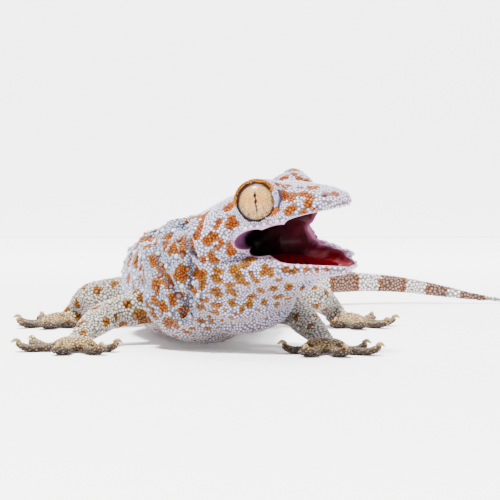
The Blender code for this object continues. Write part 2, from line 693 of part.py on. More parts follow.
def tubercled(pieces):
    """Raises the rows of tubercles on the trunk and tail, each fused with the part that it stands on."""
    rng = np.random.default_rng(SEED)
    rows = spline(SPINE, 20)
    steps = np.gradient(rows[:, :3], axis=0)
    carried = {}
    wearers = {piece.name: piece for piece in pieces if piece.name.startswith(("torso", "tail"))}
    trees = {name: tree_of(piece) for name, piece in wearers.items()}
    for start, stop, spacing, turns in TUBERCLES:
        for y in np.arange(start, stop, spacing):
            for i, turn in enumerate(turns):
                along = y + spacing / 2 * (i % 2) + rng.uniform(-1, 1) * TUBERCLE_JITTER
                at = int(np.argmin(np.abs(rows[:, 1] - along)))
                angle = math.radians(turn + rng.uniform(-1, 1) * TURN_JITTER)
                side = np.cross(steps[at] / np.linalg.norm(steps[at]), (0, 0, 1))
                out = Vector(math.sin(angle) * side + math.cos(angle) * np.array((0, 0, 1))).normalized()
                size = rng.uniform(0.85, 1.1) * min(1.0, 0.35 + rows[at, 3] / 14)
                found = met_from_outside(trees, Vector(rows[at, :3]) * MM, out)
                if found and not near_cut(found[1]):
                    carried.setdefault(found[0], []).append(tubercle(*found[1:], size))
    for name, tools in carried.items():
        boolean(wearers[name], tools, "UNION", "MANIFOLD")


def painted(obj):
    """Gives a part a material of its own, in the colour of what it is."""
    for colour, roughness, wearers in LOOKS.values():
        if obj.name.startswith(wearers):
            material = bpy.data.materials.new(obj.name + "_look")
            material.use_nodes = True
            shader = material.node_tree.nodes["Principled BSDF"]
            shader.inputs["Base Color"].default_value = (*colour, 1)
            shader.inputs["Roughness"].default_value = roughness
            shader.inputs["Metallic"].default_value = 0
            obj.data.materials.clear()
            obj.data.materials.append(material)
    obj.data.shade_smooth()
    obj.data.set_sharp_from_angle(angle=math.radians(SMOOTH_ANGLE))


def build():
    for old in list(bpy.data.objects):
        bpy.data.objects.remove(old, do_unlink=True)
    sweep("spine", SPINE, power=BELLY_SQUARENESS)
    for name, keys in LIMBS.items():
        sweep(name, keys)
    for name, plan in FEET.items():
        foot(name, plan["palm"], plan["size"], plan["toes"])
    lengthwise("skull", SKULL, head_frame())
    lengthwise("jaw", JAW, jaw_frame())
    for i, (centre, radii) in enumerate(THROAT + NAPE):
        ellipsoid(f"fullness_{i}", centre, radii)
    ellipsoid("web", WEB, WEB_RADII, head_frame())
    for i, (centre, radii) in enumerate(RIM):
        ellipsoid(f"rim_{i}", centre, radii, jaw_frame())
    for side in (-1, 1):
        ellipsoid(f"brow_{side}", mirrored(BROW, side), BROW_RADII, head_frame())
        torus(f"lid_{side}", eye_frame(side), LID_RADIUS, LID_THICKNESS, LID_OUT)
    body = smoothed(fused(joined("body", list(bpy.context.scene.objects)), VOXEL))
    thinned(body, BODY_TRIANGLES)
    ground, half = GROUND
    boolean(body, openings() + [box("ground", Matrix.Translation(ground), half)], "DIFFERENCE", "MANIFOLD")
    tubercled(parted(body))
    for side in (-1, 1):
        name = "eye_right" if side < 0 else "eye_left"
        ellipsoid(name, (0, 0, 0), EYE_RADII, eye_frame(side), EYE_SIDES)
    lengthwise("tongue", TONGUE, jaw_frame(), 2, 2.3, TONGUE_SIDES)
    for obj in bpy.context.scene.objects:
        painted(obj)


build()
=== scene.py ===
"""Tokay gecko, life size: its skin, scales, eyes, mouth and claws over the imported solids.

Lengths are in millimetres in the tables and become metres when a mesh is made. The animal faces -Y, +X is its
left, +Z is up, and the origin is on the ground under the belly.
"""

import logging
import math
from dataclasses import dataclass, field
from enum import Enum
from typing import Sequence

import bmesh
import bpy
import numpy as np
from mathutils import Matrix, Vector
from mathutils.bvhtree import BVHTree
from mathutils.kdtree import KDTree

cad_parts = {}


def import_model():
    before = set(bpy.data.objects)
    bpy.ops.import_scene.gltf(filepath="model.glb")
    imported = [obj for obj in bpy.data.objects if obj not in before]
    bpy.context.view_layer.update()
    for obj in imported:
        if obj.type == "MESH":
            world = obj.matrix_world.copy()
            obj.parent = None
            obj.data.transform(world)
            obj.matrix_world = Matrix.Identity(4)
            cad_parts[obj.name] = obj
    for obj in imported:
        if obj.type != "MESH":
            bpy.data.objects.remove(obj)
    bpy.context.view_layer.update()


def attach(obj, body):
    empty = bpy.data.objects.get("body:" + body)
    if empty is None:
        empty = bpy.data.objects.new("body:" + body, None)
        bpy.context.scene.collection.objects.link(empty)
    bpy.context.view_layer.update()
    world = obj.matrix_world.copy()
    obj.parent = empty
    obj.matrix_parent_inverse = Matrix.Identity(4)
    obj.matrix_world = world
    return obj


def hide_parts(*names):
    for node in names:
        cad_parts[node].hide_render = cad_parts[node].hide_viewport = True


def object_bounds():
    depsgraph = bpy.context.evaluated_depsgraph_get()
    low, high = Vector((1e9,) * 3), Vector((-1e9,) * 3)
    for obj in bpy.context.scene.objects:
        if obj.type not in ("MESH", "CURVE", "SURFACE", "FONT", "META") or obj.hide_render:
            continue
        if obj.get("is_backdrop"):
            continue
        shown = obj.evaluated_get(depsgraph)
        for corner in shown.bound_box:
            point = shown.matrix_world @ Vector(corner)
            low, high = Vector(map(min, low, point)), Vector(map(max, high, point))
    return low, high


MM = 0.001
SEED = 11
BONE_SIDES = 40
IN_MOUTH, IN_SOCKET = 1, 2
AROUND = tuple((x, y, z) for x in (-1, 0, 1) for y in (-1, 0, 1) for z in (-1, 0, 1))
Row = tuple[float, ...]
Rows = tuple[Row, ...]
log = logging.getLogger("gecko")


class Region(Enum):
    """Where on the animal a scale grows."""

    HEAD = 0
    JAW = 1
    TRUNK = 2
    TAIL = 3
    LIMB = 4
    HAND = 5


@dataclass(frozen=True)
class Finish:
    """How a surface takes light.

    Args:
        name: the material's name.
        roughness: how far a highlight spreads.
        gloss: how strongly it mirrors light.
        coat: how much clear wet film lies over the colour.
        bump: how deep the fine grain is, in millimetres.
        grain: how many grains stand in a millimetre.
    """

    name: str
    roughness: float
    gloss: float = 0.5
    coat: float = 0.0
    bump: float = 0.0
    grain: float = 2.0

    def material(self) -> bpy.types.Material:
        """The material that shows the tint a mesh carries.

        Returns:
            A new material.
        """
        material = bpy.data.materials.new(self.name)
        material.use_nodes = True
        tree = material.node_tree
        shader = tree.nodes["Principled BSDF"]
        tint = tree.nodes.new("ShaderNodeAttribute")
        tint.attribute_name = "tint"
        tree.links.new(tint.outputs["Color"], shader.inputs["Base Color"])
        shader.inputs["Roughness"].default_value = self.roughness
        shader.inputs["Specular IOR Level"].default_value = self.gloss
        shader.inputs["Coat Weight"].default_value = self.coat
        shader.inputs["Coat Roughness"].default_value = 0.06
        if self.bump:
            place = tree.nodes.new("ShaderNodeTexCoord")
            noise = tree.nodes.new("ShaderNodeTexNoise")
            noise.inputs["Scale"].default_value = self.grain / MM
            noise.inputs["Detail"].default_value = 2.0
            bump = tree.nodes.new("ShaderNodeBump")
            bump.inputs["Strength"].default_value = 0.6
            bump.inputs["Distance"].default_value = self.bump * MM
            tree.links.new(place.outputs["Object"], noise.inputs["Vector"])
            tree.links.new(noise.outputs["Fac"], bump.inputs["Height"])
            tree.links.new(bump.outputs["Normal"], shader.inputs["Normal"])
        return material


SKIN_FINISH = Finish("living_skin", 0.45, 0.15, bump=0.08, grain=3.0)
SCALE_FINISH = Finish("scale", 0.26, 0.09, bump=0.02, grain=6.0)
WET_FINISH = Finish("wet_lining", 0.42, 0.06, coat=0.1)
TONGUE_FINISH = Finish("tongue", 0.5, 0.0)
EYE_FINISH = Finish("eye", 0.35, 0.2, coat=0.3)
CLAW_FINISH = Finish("claw", 0.3)


def spline(keys: Rows, steps: int) -> np.ndarray:
    """Rows read from a smooth curve that passes through each row of keys.

    Args:
        keys: the rows to pass through.
        steps: how many rows to read from each stretch.

    Returns:
        The rows, the last key included.
    """
    rows = np.array(keys, float)
    padded = np.vstack((2 * rows[0] - rows[1], rows, 2 * rows[-1] - rows[-2]))
    share = (np.arange(steps) / steps)[:, None]
    read = []
    for i in range(len(rows) - 1):
        a, b, c, d = padded[i : i + 4]
        read.append(0.5 * (2 * b + (c - a) * share + (2 * a - 5 * b + 4 * c - d) * share**2
                           + (3 * b - a - 3 * c + d) * share**3))
    return np.vstack((*read, rows[-1:]))


def placed(points: np.ndarray, frame: Matrix) -> np.ndarray:
    """Points in a frame's own axes, as points in the model."""
    matrix = np.array(frame)
    return np.asarray(points) @ matrix[:3, :3].T + matrix[:3, 3]


def mesh_object(name: str, points: np.ndarray, faces: Sequence[Sequence[int]]) -> bpy.types.Object:
    """A mesh object in the scene.

    Args:
        name: the object's name.
        points: its points, in metres.
        faces: the points of each face.

    Returns:
        The object.
    """
    mesh = bpy.data.meshes.new(name)
    mesh.from_pydata(np.asarray(points).tolist(), [], faces)
    obj = bpy.data.objects.new(name, mesh)
    bpy.context.scene.collection.objects.link(obj)
    return obj


def outward(obj: bpy.types.Object) -> bpy.types.Object:
    """Turns a closed mesh's faces outward.

    Args:
        obj: the object.

    Returns:
        The same object.
    """
    work = bmesh.new()
    work.from_mesh(obj.data)
    bmesh.ops.recalc_face_normals(work, faces=work.faces)
    work.to_mesh(obj.data)
    work.free()
    return obj


def points_of(obj: bpy.types.Object) -> np.ndarray:
    """An object's points, in millimetres, one to a row."""
    points = np.empty(len(obj.data.vertices) * 3)
    obj.data.vertices.foreach_get("co", points)
    return points.reshape(-1, 3) / MM


def normals_of(obj: bpy.types.Object) -> np.ndarray:
    """The way each of an object's points faces, one unit vector to a row."""
    normals = np.empty(len(obj.data.vertices) * 3)
    obj.data.vertex_normals.foreach_get("vector", normals)
    return normals.reshape(-1, 3)


def moved_to(obj: bpy.types.Object, points: np.ndarray) -> None:
    """Moves an object's points to new places, in millimetres."""
    obj.data.vertices.foreach_set("co", (points * MM).ravel())
    obj.data.update()


def settled(obj: bpy.types.Object) -> bpy.types.Object:
    """Applies an object's modifiers to its mesh.

    Args:
        obj: the object.

    Returns:
        The same object.
    """
    graph = bpy.context.evaluated_depsgraph_get()
    mesh = bpy.data.meshes.new_from_object(obj.evaluated_get(graph))
    obj.modifiers.clear()
    obj.data = mesh
    return obj


def tinted(obj: bpy.types.Object, colours: np.ndarray) -> None:
    """Writes a colour on each of a mesh's points, for its material to show.

    Args:
        obj: the object.
        colours: red, green and blue, one row to a point.
    """
    attribute = obj.data.color_attributes.new("tint", "FLOAT_COLOR", "POINT")
    rgba = np.ones((len(colours), 4), np.float32)
    rgba[:, :3] = colours
    attribute.data.foreach_set("color", rgba.ravel())


def dressed(obj: bpy.types.Object, finish: Finish) -> bpy.types.Object:
    """Gives a piece its finish and ties it to the solids.

    Args:
        obj: the piece.
        finish: how it takes light.

    Returns:
        The same object.
    """
    obj.data.materials.clear()
    obj.data.materials.append(finish.material())
    obj.data.shade_smooth()
    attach(obj, "root")
    return obj


def loft(name: str, rings: list[np.ndarray]) -> bpy.types.Object:
    """A closed body through rings of equal count, with a fan at each end.

    Args:
        name: the object's name.
        rings: each ring's points, in millimetres.

    Returns:
        The object.
    """
    sides, count = len(rings[0]), len(rings)
    points = np.vstack((*rings, rings[0].mean(0)[None], rings[-1].mean(0)[None])) * MM
    ring, side = np.divmod(np.arange((count - 1) * sides), sides)
    after = (side + 1) % sides
    quads = np.column_stack((ring * sides + side, ring * sides + after,
                             (ring + 1) * sides + after, (ring + 1) * sides + side)).tolist()
    first, last, tail = len(points) - 2, len(points) - 1, (count - 1) * sides
    fans = [(first, (j + 1) % sides, j) for j in range(sides)]
    fans += [(last, tail + j, tail + (j + 1) % sides) for j in range(sides)]
    return outward(mesh_object(name, points, quads + fans))


def section(half_width: float, top: float, bottom: float, power: float, sides: int) -> tuple[np.ndarray, np.ndarray]:
    """One cross section, as distances sideways and upward.

    Args:
        half_width: how far it reaches to each side.
        top: how far it reaches above its widest line.
        bottom: how far it reaches below it.
        power: 2 for an ellipse, more for a squarer form.
        sides: how many points it has.

    Returns:
        The sideways and the upward distances.
    """
    angle = 2 * math.pi * np.arange(sides) / sides
    across, up = np.cos(angle), np.sin(angle)
    across = half_width * np.sign(across) * np.abs(across) ** (2 / power)
    height = np.where(up > 0, top, bottom)
    return across, height * np.sign(up) * np.abs(up) ** (2 / power)


@dataclass(frozen=True)
class Sweep:
    """A tube along a path: the trunk, a limb or a toe.

    Args:
        name: what it is.
        keys: rows of x, y, z, half width, half height.
        power: how square its section is.
        steps: how many rings to each stretch.
        sides: how many points to a ring.
    """

    name: str
    keys: Rows
    power: float = 2.0
    steps: int = 5
    sides: int = BONE_SIDES

    def rows(self) -> np.ndarray:
        """The path's rows, closely spaced: x, y, z, half width and half height."""
        return spline(self.keys, self.steps)

    def build(self) -> bpy.types.Object:
        """Makes the tube, its sections upright and square to the path.

        Returns:
            The object.
        """
        rows = self.rows()
        along = np.gradient(rows[:, :3], axis=0)
        rings = []
        for row, step in zip(rows, along):
            forward = step / np.linalg.norm(step)
            side = np.cross(forward, (0, 0, 1))
            side = side / np.linalg.norm(side)
            up = np.cross(side, forward)
            across, height = section(row[3], row[4], row[4], self.power, self.sides)
            rings.append(row[:3] + across[:, None] * side + height[:, None] * up)
        return loft(self.name, rings)


@dataclass(frozen=True)
class Lengthwise:
    """A body along the first axis of a frame: the skull, the jaw, the hollow of the mouth or the tongue.

    Args:
        name: what it is.
        keys: rows of distance along, half width, top, height of the widest line, bottom.
        frame: the frame's matrix.
        steps: how many rings to each stretch.
        power: how square its section is.
        sides: how many points to a ring.
    """

    name: str
    keys: Rows
    frame: Matrix
    steps: int = 5
    power: float = 2.3
    sides: int = BONE_SIDES

    def build(self) -> bpy.types.Object:
        """Makes the body.

        Returns:
            The object.
        """
        rings = []
        for along, half_width, top, widest, bottom in spline(self.keys, self.steps):
            across, height = section(half_width, top - widest, widest - bottom, self.power, self.sides)
            local = np.column_stack((np.full(self.sides, along), across, widest + height))
            rings.append(placed(local, self.frame))
        return loft(self.name, rings)


@dataclass(frozen=True)
class Egg:
    """An ellipsoid whose axes lie along a frame's.

    Args:
        name: what it is.
        centre: its middle in the frame.
        radii: its half sizes.
        frame: the frame's matrix.
        sides: how many points to a ring.
    """

    name: str
    centre: Row
    radii: Row
    frame: Matrix = field(default_factory=lambda: Matrix.Identity(4))
    sides: int = BONE_SIDES

    def build(self) -> bpy.types.Object:
        """Makes the ellipsoid.

        Returns:
            The object.
        """
        work = bmesh.new()
        bmesh.ops.create_uvsphere(work, u_segments=self.sides, v_segments=self.sides // 2, radius=1.0)
        local = np.array([v.co for v in work.verts]) * self.radii + self.centre
        faces = [[v.index for v in f.verts] for f in work.faces]
        work.free()
        return outward(mesh_object(self.name, placed(local, self.frame) * MM, faces))


def turned(frame: Matrix, *, yaw: float = 0.0, pitch: float = 0.0, roll: float = 0.0) -> Matrix:
    """A frame turned to the right, lifted and rolled about its own axes, in degrees."""
    return (frame @ Matrix.Rotation(math.radians(-yaw), 4, "Z") @ Matrix.Rotation(math.radians(-pitch), 4, "Y")
            @ Matrix.Rotation(math.radians(roll), 4, "X"))


@dataclass(frozen=True)
class Head:
    """The skull, the dropped jaw, the brows, lids and eyes, and the hollow of the mouth.

    Rows of skull, jaw, palate, floor and tongue give the distance along, the half width, the top, the height of the
    widest line and the bottom. Places on one side are the right side's.

    Args:
        origin: a point inside the back of the skull.
        yaw: how far the head turns.
        pitch: how far it lifts.
        roll: how far it tips.
        gape: how far the jaw drops.
        hinge: the jaw's hinge in the head's frame.
        skull: the skull and the upper jaw.
        jaw: the lower jaw, in its own frame.
        palate: the mouth's hollow under the skull.
        jaw_floor: its hollow over the lower jaw.
        tongue: the tongue, in the jaw's frame.
        corner: the hollows at the near corner of the mouth, each with its half sizes.
        pouch: the middle of the far cheek's hollow.
        pouch_radii: its half sizes.
        web: the middle of the web of skin at the far corner.
        web_radii: its half sizes.
        rim: the swellings of the far under-lip, each with its half sizes.
        eye: an eyeball's middle.
        eye_radii: its half sizes.
        eye_looks: the way it looks.
        brow: the middle of the swelling round the eye.
        brow_radii: its half sizes.
        lid: the eyelid ring's radius, its thickness and how far out it lies.
        lid_sides: how many points round the ring and round its thickness.
        ear: the middle of the ear's opening.
        ear_radii: its half sizes.
        ear_tilt: how far it leans, in degrees.
        nostril: the middle of a nostril.
        nostril_radii: its half sizes.
        socket_gap: how far the socket stands off the eyeball.
    """

    origin: Row = (2.4, -39.6, 26.5)
    yaw: float = 28.0
    pitch: float = 16.4
    roll: float = 7.0
    gape: float = 21.0
    hinge: Row = (5.0, 0.0, -3.6)
    skull: Rows = (
        (-7, 10.5, 4, -3, -9.5), (-1, 13.6, 6.3, -2.8, -9.8), (5, 15.6, 7.8, -2.6, -9), (11, 15.4, 8.8, -1.8, -7),
        (16, 14.4, 9.2, -0.8, -6.4), (20.5, 13.3, 9, -0.4, -6.2), (24, 12.3, 8.4, -0.1, -5.6),
        (25.6, 11.7, 8, 0, -4.4), (26.8, 11.3, 7.7, 0, -2.4), (28.4, 10.7, 7, 0, -1.8), (33, 8.9, 5, 0, -2),
        (37, 6.8, 2.7, -0.4, -2.3), (38.8, 4.6, 1.1, -0.6, -2.3), (39.7, 1.8, 0, -0.8, -1.8),
    )
    jaw: Rows = (
        (-6, 11, 2, -3, -9), (0, 14.4, 2.5, -2.6, -9.5), (6, 15, 1.6, -2.2, -9.5), (12, 14, 2.6, -1.8, -8),
        (16, 12.9, 2.6, -1.2, -6.8), (19, 12.2, 1.5, -0.6, -5.7), (24, 10.4, 1, -0.4, -4.4), (29, 8, 0.6, -0.5, -3.4),
        (32.1, 5.2, 0, -0.8, -2.6), (33.6, 1.9, -0.5, -1, -1.6),
    )
    palate: Rows = (
        (9, 7, -2, -5, -8), (14, 8.6, 0.2, -3.4, -7), (20, 9, 1.4, -2.8, -7), (24, 9.8, 1.6, -2.2, -6),
        (28, 9, 1.3, -2, -4), (33, 6.8, 0.9, -2, -3.2), (37.2, 3.9, 0, -1.9, -3), (38.4, 1.6, -0.8, -1.9, -2.9),
    )
    jaw_floor: Rows = (
        (3, 6, 1, -1, -3), (8, 8.4, 3.4, 0, -3), (14, 9, 3.6, 0, -2.9), (20, 10.2, 3, 0.6, -2.7),
        (26, 8, 2.4, 0.8, -2.3), (30.5, 5, 2, 0.6, -1.9), (32.8, 2.2, 1.4, 0.2, -1.4),
    )
    tongue: Rows = (
        (7, 2, -1.6, -2, -2.3), (9, 4.6, -0.7, -1.6, -2.5), (14, 6.6, 0.1, -1.2, -2.4), (20, 6, 0, -1.2, -2.2),
        (25, 4.6, -0.3, -1.1, -1.8), (28, 2.6, -0.6, -1.1, -1.6), (29, 0.8, -0.9, -1.1, -1.3),
    )
    corner: tuple[tuple[Row, Row], ...] = (
        ((18.4, -11.8, -2.9), (4.4, 6.0, 2.5)),
        ((23.9, -11.8, -4.75), (6.8, 6.0, 3.55)),
        ((19.3, -8.4, -5.6), (4.4, 3.2, 1.9)),
    )
    pouch: Row = (21.0, 7.2, -6.6)
    pouch_radii: Row = (6.8, 3.5, 5.2)
    web: Row = (17.5, 11.3, -6.5)
    web_radii: Row = (6.2, 1.6, 5.5)
    rim: tuple[tuple[Row, Row], ...] = (
        ((19.5, 11.0, 1.4), (3.6, 1.4, 1.8)),
        ((23.0, 10.0, 1.0), (3.6, 1.3, 1.6)),
        ((26.8, 8.2, 0.6), (3.6, 1.3, 1.4)),
    )
    eye: Row = (21.8, -10.5, 5.2)
    eye_radii: Row = (4.9, 4.9, 3.5)
    eye_looks: Row = (0.36, -0.93, 0.05)
    brow: Row = (21.8, -7.6, 4.8)
    brow_radii: Row = (7.0, 5.2, 5.6)
    lid: Row = (5.0, 0.9, 0.9)
    lid_sides: tuple[int, int] = (48, 14)
    ear: Row = (4.2, -15.6, -1.4)
    ear_radii: Row = (0.8, 3.0, 2.0)
    ear_tilt: float = 21.0
    nostril: Row = (37.0, -5.4, 2.0)
    nostril_radii: Row = (0.9, 0.9, 0.7)
    socket_gap: float = 0.15

    def frame(self) -> Matrix:
        """The head's frame: first axis to the snout, second to the left, third up."""
        return turned(Matrix.Translation(self.origin), yaw=self.yaw, pitch=self.pitch, roll=self.roll)

    def jaw_frame(self) -> Matrix:
        """The lower jaw's frame, dropped about the hinge."""
        return turned(self.frame() @ Matrix.Translation(self.hinge), pitch=-self.gape)

    @staticmethod
    def on_side(point: Row, side: int) -> Row:
        """A point given for the right side, on either side: -1 for the right, 1 for the left."""
        return (point[0], -side * point[1], point[2])

    def eye_frame(self, side: int) -> Matrix:
        """A frame at an eyeball's middle whose third axis points where it looks.

        Args:
            side: -1 for the right, 1 for the left.

        Returns:
            The matrix.
        """
        looks = Vector(self.on_side(self.eye_looks, side)).normalized()
        turn = looks.to_track_quat("Z", "Y").to_matrix().to_4x4()
        return self.frame() @ Matrix.Translation(self.on_side(self.eye, side)) @ turn

    def lid_ring(self, side: int) -> bpy.types.Object:
        """The thick ring of skin round an eye.

        Args:
            side: -1 for the right, 1 for the left.

        Returns:
            The object.
        """
        radius, thickness, out = self.lid
        around, across = self.lid_sides
        round_angle = 2 * math.pi * np.arange(around) / around
        tube_angle = 2 * math.pi * np.arange(across) / across
        reach = radius + thickness * np.cos(tube_angle)
        points = np.array([np.column_stack((reach * math.cos(a), reach * math.sin(a),
                                            out + thickness * np.sin(tube_angle))) for a in round_angle])
        i, j = np.divmod(np.arange(around * across), across)
        after, beside = (i + 1) % around * across, (j + 1) % across
        quads = np.column_stack((i * across + j, i * across + beside, after + beside, after + j))
        points = placed(points.reshape(-1, 3), self.eye_frame(side))
        return outward(mesh_object("lid", points * MM, quads.tolist()))

    def volumes(self) -> list[bpy.types.Object]:
        """What the head adds to the clay.

        Returns:
            Closed bodies.
        """
        made = [Lengthwise("skull", self.skull, self.frame()).build(),
                Lengthwise("jaw", self.jaw, self.jaw_frame()).build(),
                Egg("web", self.web, self.web_radii, self.frame()).build()]
        made += [Egg("rim", centre, radii, self.jaw_frame()).build() for centre, radii in self.rim]
        for side in (-1, 1):
            made.append(Egg("brow", self.on_side(self.brow, side), self.brow_radii, self.frame()).build())
            made.append(self.lid_ring(side))
        return made

    def mouth_hollow(self) -> list[bpy.types.Object]:
        """The bodies that empty the mouth.

        Returns:
            Closed bodies.
        """
        return [Lengthwise("palate", self.palate, self.frame(), 4, 2.6, 32).build(),
                Lengthwise("floor", self.jaw_floor, self.jaw_frame(), 4, 2.6, 32).build(),
                Egg("pouch", self.pouch, self.pouch_radii, self.frame()).build(),
                *(Egg("corner", centre, radii, self.frame()).build() for centre, radii in self.corner)]

    def openings(self) -> list[bpy.types.Object]:
        """The bodies that cut the eye sockets, ears and nostrils.

        Returns:
            Closed bodies.
        """
        made = []
        for side in (-1, 1):
            socket = tuple(radius + self.socket_gap for radius in self.eye_radii)
            made.append(Egg("socket", (0, 0, 0), socket, self.eye_frame(side)).build())
            ear = turned(self.frame() @ Matrix.Translation(self.on_side(self.ear, side)), pitch=self.ear_tilt)
            made.append(Egg("ear", (0, 0, 0), self.ear_radii, ear, 24).build())
            made.append(Egg("nostril", self.on_side(self.nostril, side), self.nostril_radii, self.frame(), 16).build())
        return made


@dataclass(frozen=True)
class Foot:
    """A hand or foot: a low palm and five toes with their claws.

    Args:
        name: what it is.
        palm: the middle of the palm.
        size: its half length and half width.
        toes: the tips of the toes.
        palm_height: how high the palm's middle lies.
        profile: a toe's rows: share of the way to its tip, height, half width, half height.
        claw: a claw's length past the tip, its radius and its height.
    """

    name: str
    palm: Row
    size: Row
    toes: Rows
    palm_height: float = 2.0
    profile: Rows = (
        (-0.10, 2.3, 1.45, 1.45), (0.15, 1.8, 1.45, 1.35), (0.40, 1.1, 1.60, 1.25), (0.60, 0.8, 2.20, 1.05),
        (0.78, 0.9, 2.70, 1.00), (0.92, 1.5, 2.60, 0.95), (1.00, 2.5, 1.60, 0.80),
    )
    claw: Row = (1.3, 0.50, 2.7)

    def volumes(self) -> list[bpy.types.Object]:
        """What the foot adds to the clay.

        Returns:
            Closed bodies.
        """
        made = [Egg(self.name, (*self.palm, self.palm_height), (*self.size, self.palm_height)).build()]
        palm = np.array(self.palm)
        for i, tip in enumerate(self.toes):
            away = np.array(tip) - palm
            keys = tuple((*(palm + away * share), *rest) for share, *rest in self.profile)
            made.append(Sweep(f"{self.name}_{i}", keys, steps=4, sides=24).build())
        return made

    def claws(self) -> list[bpy.types.Object]:
        """The claw above each toe's tip.

        Returns:
            Closed bodies.
        """
        length, radius, height = self.claw
        made = []
        for tip in np.array(self.toes):
            away = (tip - self.palm) / np.linalg.norm(tip - self.palm)
            keys = ((*(tip - away * 0.9), height - 0.3, radius, radius),
                    (*(tip + away * 0.2), height + 0.2, radius, radius),
                    (*(tip + away * length), height - 0.4, 0.12, 0.12))
            made.append(Sweep("claw", keys, steps=5, sides=12).build())
        return made


SPINE = Sweep("spine", (
    (1, -40, 24.5, 12, 9.5), (0.5, -33, 20, 13.5, 12), (0.5, -22, 15.2, 15.5, 13.8), (-0.5, -8, 14.2, 17.8, 14.8),
    (-1.5, 10, 14.3, 20, 15.4), (-0.5, 28, 13.7, 17.6, 13.9), (1.2, 41, 12.6, 13.4, 11.8), (3, 53, 11, 10.6, 9.4),
    (5, 65, 10, 8, 7.6), (10, 85, 9, 6.6, 6.4), (18, 105, 8.3, 5.4, 5.2), (31, 122, 7.8, 4.3, 4.2),
    (48, 132.5, 7.3, 3.2, 3.2), (62, 136, 6.3, 2.6, 2.6), (75.5, 137, 4.2, 2, 2), (85.5, 136.5, 2.5, 1.3, 1.3),
    (97, 135, 1, 0.6, 0.7),
), power=2.35)
LIMBS = (
    Sweep("arm_right", (
        (0, -23, 14, 6, 6), (-7, -23, 11.5, 6.2, 5.6), (-14.5, -24.8, 9.4, 4.9, 4.5), (-21.5, -27.5, 8, 4, 3.9),
        (-25, -34, 6.3, 3.8, 3.5), (-27.6, -41.5, 4, 3, 2.5), (-28.8, -45, 2.6, 3, 1.8),
    )),
    Sweep("arm_left", (
        (2, -20, 14, 6, 6), (9.5, -21, 12.5, 6.2, 6), (17.5, -26, 10.2, 4.8, 4.6), (24, -31, 8.6, 4, 3.9),
        (26.8, -38.5, 6.5, 3.7, 3.5), (29.6, -46, 4, 3, 2.5), (30.6, -49.5, 2.6, 3, 1.8),
    )),
    Sweep("leg_right", (
        (1, 48, 11, 6.5, 6), (-7, 45.5, 10.6, 6.8, 6.2), (-17.5, 38, 9.6, 6, 5.5), (-26.6, 31.5, 9.2, 4.6, 4.6),
        (-31.8, 35, 8, 4.4, 4.2), (-36, 40.5, 4.8, 3.3, 2.9), (-38.5, 40, 2.7, 3.3, 2),
    )),
    Sweep("leg_left", (
        (5, 48, 11, 6.5, 6), (12, 45, 10.6, 6.8, 6.2), (21.5, 35.5, 9.6, 6, 5.5), (30, 27, 8.7, 4, 4),
        (32.8, 33, 7.7, 4, 3.8), (36.2, 39, 4.8, 3.3, 2.9), (38.5, 38.5, 2.7, 3.3, 2),
    )),
)
FEET = (
    Foot("hand_right", (-29.5, -46.5), (5.2, 4.4),
         ((-40.8, -37.2), (-43.6, -46.7), (-32.3, -58.5), (-22.2, -57.5), (-19.0, -48.0))),
    Foot("hand_left", (31.0, -51.5), (5.2, 4.4),
         ((20.8, -52.0), (26.0, -63.4), (35.4, -64.0), (41.0, -49.5), (43.8, -58.0))),
    Foot("foot_right", (-40.0, 38.0), (5.6, 4.8),
         ((-36.6, 26.5), (-43.5, 21.5), (-51.0, 27.0), (-52.6, 37.5), (-47.0, 49.0))),
    Foot("foot_left", (40.0, 37.0), (5.6, 4.8),
         ((36.8, 25.5), (43.5, 20.5), (51.0, 26.0), (54.0, 36.5), (48.0, 48.5))),
)
THROAT = (
    Egg("throat", (4.5, -42.5, 17.5), (13.5, 11.8, 10.5)),
    Egg("breast", (1.5, -36.5, 13.0), (15.0, 12.5, 12.0)),
    Egg("dewlap", (11.0, -42.0, 13.7), (13.3, 10.5, 10.0)),
    Egg("chin", (16.5, -46.8, 18.4), (13.0, 8.8, 6.6)),
    Egg("nape", (-3.5, -33.0, 22.5), (10.5, 11.0, 8.2)),
    Egg("shoulders", (1.0, -27.0, 20.5), (12.5, 11.0, 8.5)),
)
# Where the skin is drawn smooth over a join: x, y, z, reach.
FOLDS = ((-1.0, -33.0, 18.0, 22.0), (10.0, -43.0, 14.0, 17.0), (-12.0, -24.0, 11.0, 9.0), (14.0, -22.0, 11.0, 9.0),
         (-13, 41, 10, 11), (16, 40, 10, 11), (4, 58, 10, 12),
         (-21.5, -28.0, 8.0, 6.0), (24.0, -31.5, 8.5, 6.0), (-27.5, 32.0, 8.0, 6.5), (31.0, 27.5, 8.0, 6.5))

# Spots that the photo shows, as column, row and radius in pixels.
HEAD_SPOTS: Rows = (
    (232, 194, 2.5), (229, 207, 4.5), (232, 222, 6), (232, 246, 5), (232, 252, 4), (284, 196, 4.5), (291, 197, 4.5),
    (304, 194, 3.5), (309, 197, 3.5), (308, 204, 3.5), (293, 208, 3.5), (288, 211, 3.5), (304, 213, 2.8),
    (315, 210, 2.8), (335, 194, 3), (270, 223, 2.5), (258, 218, 2.5), (252, 221, 2.5), (282, 179, 2.5),
    (286, 178, 2.5), (294, 174.5, 2.5), (300, 179, 3), (307, 182, 3), (277, 184, 2.2), (283, 186, 2.8),
    (288, 186, 2.5), (301, 188, 2), (312, 188, 3.5), (316, 187, 2.5), (326, 185, 2), (263, 181, 2), (192, 218, 2.5),
    (188, 222, 2.5), (198, 217, 3), (204, 216, 3.5), (202, 221, 3), (200, 228, 3.5), (198, 233, 3), (195, 236, 3.5),
    (218, 223, 4), (216, 227, 2.5), (207, 240, 4), (213, 236, 4.5), (221, 243, 3), (217, 247, 2.5),
)
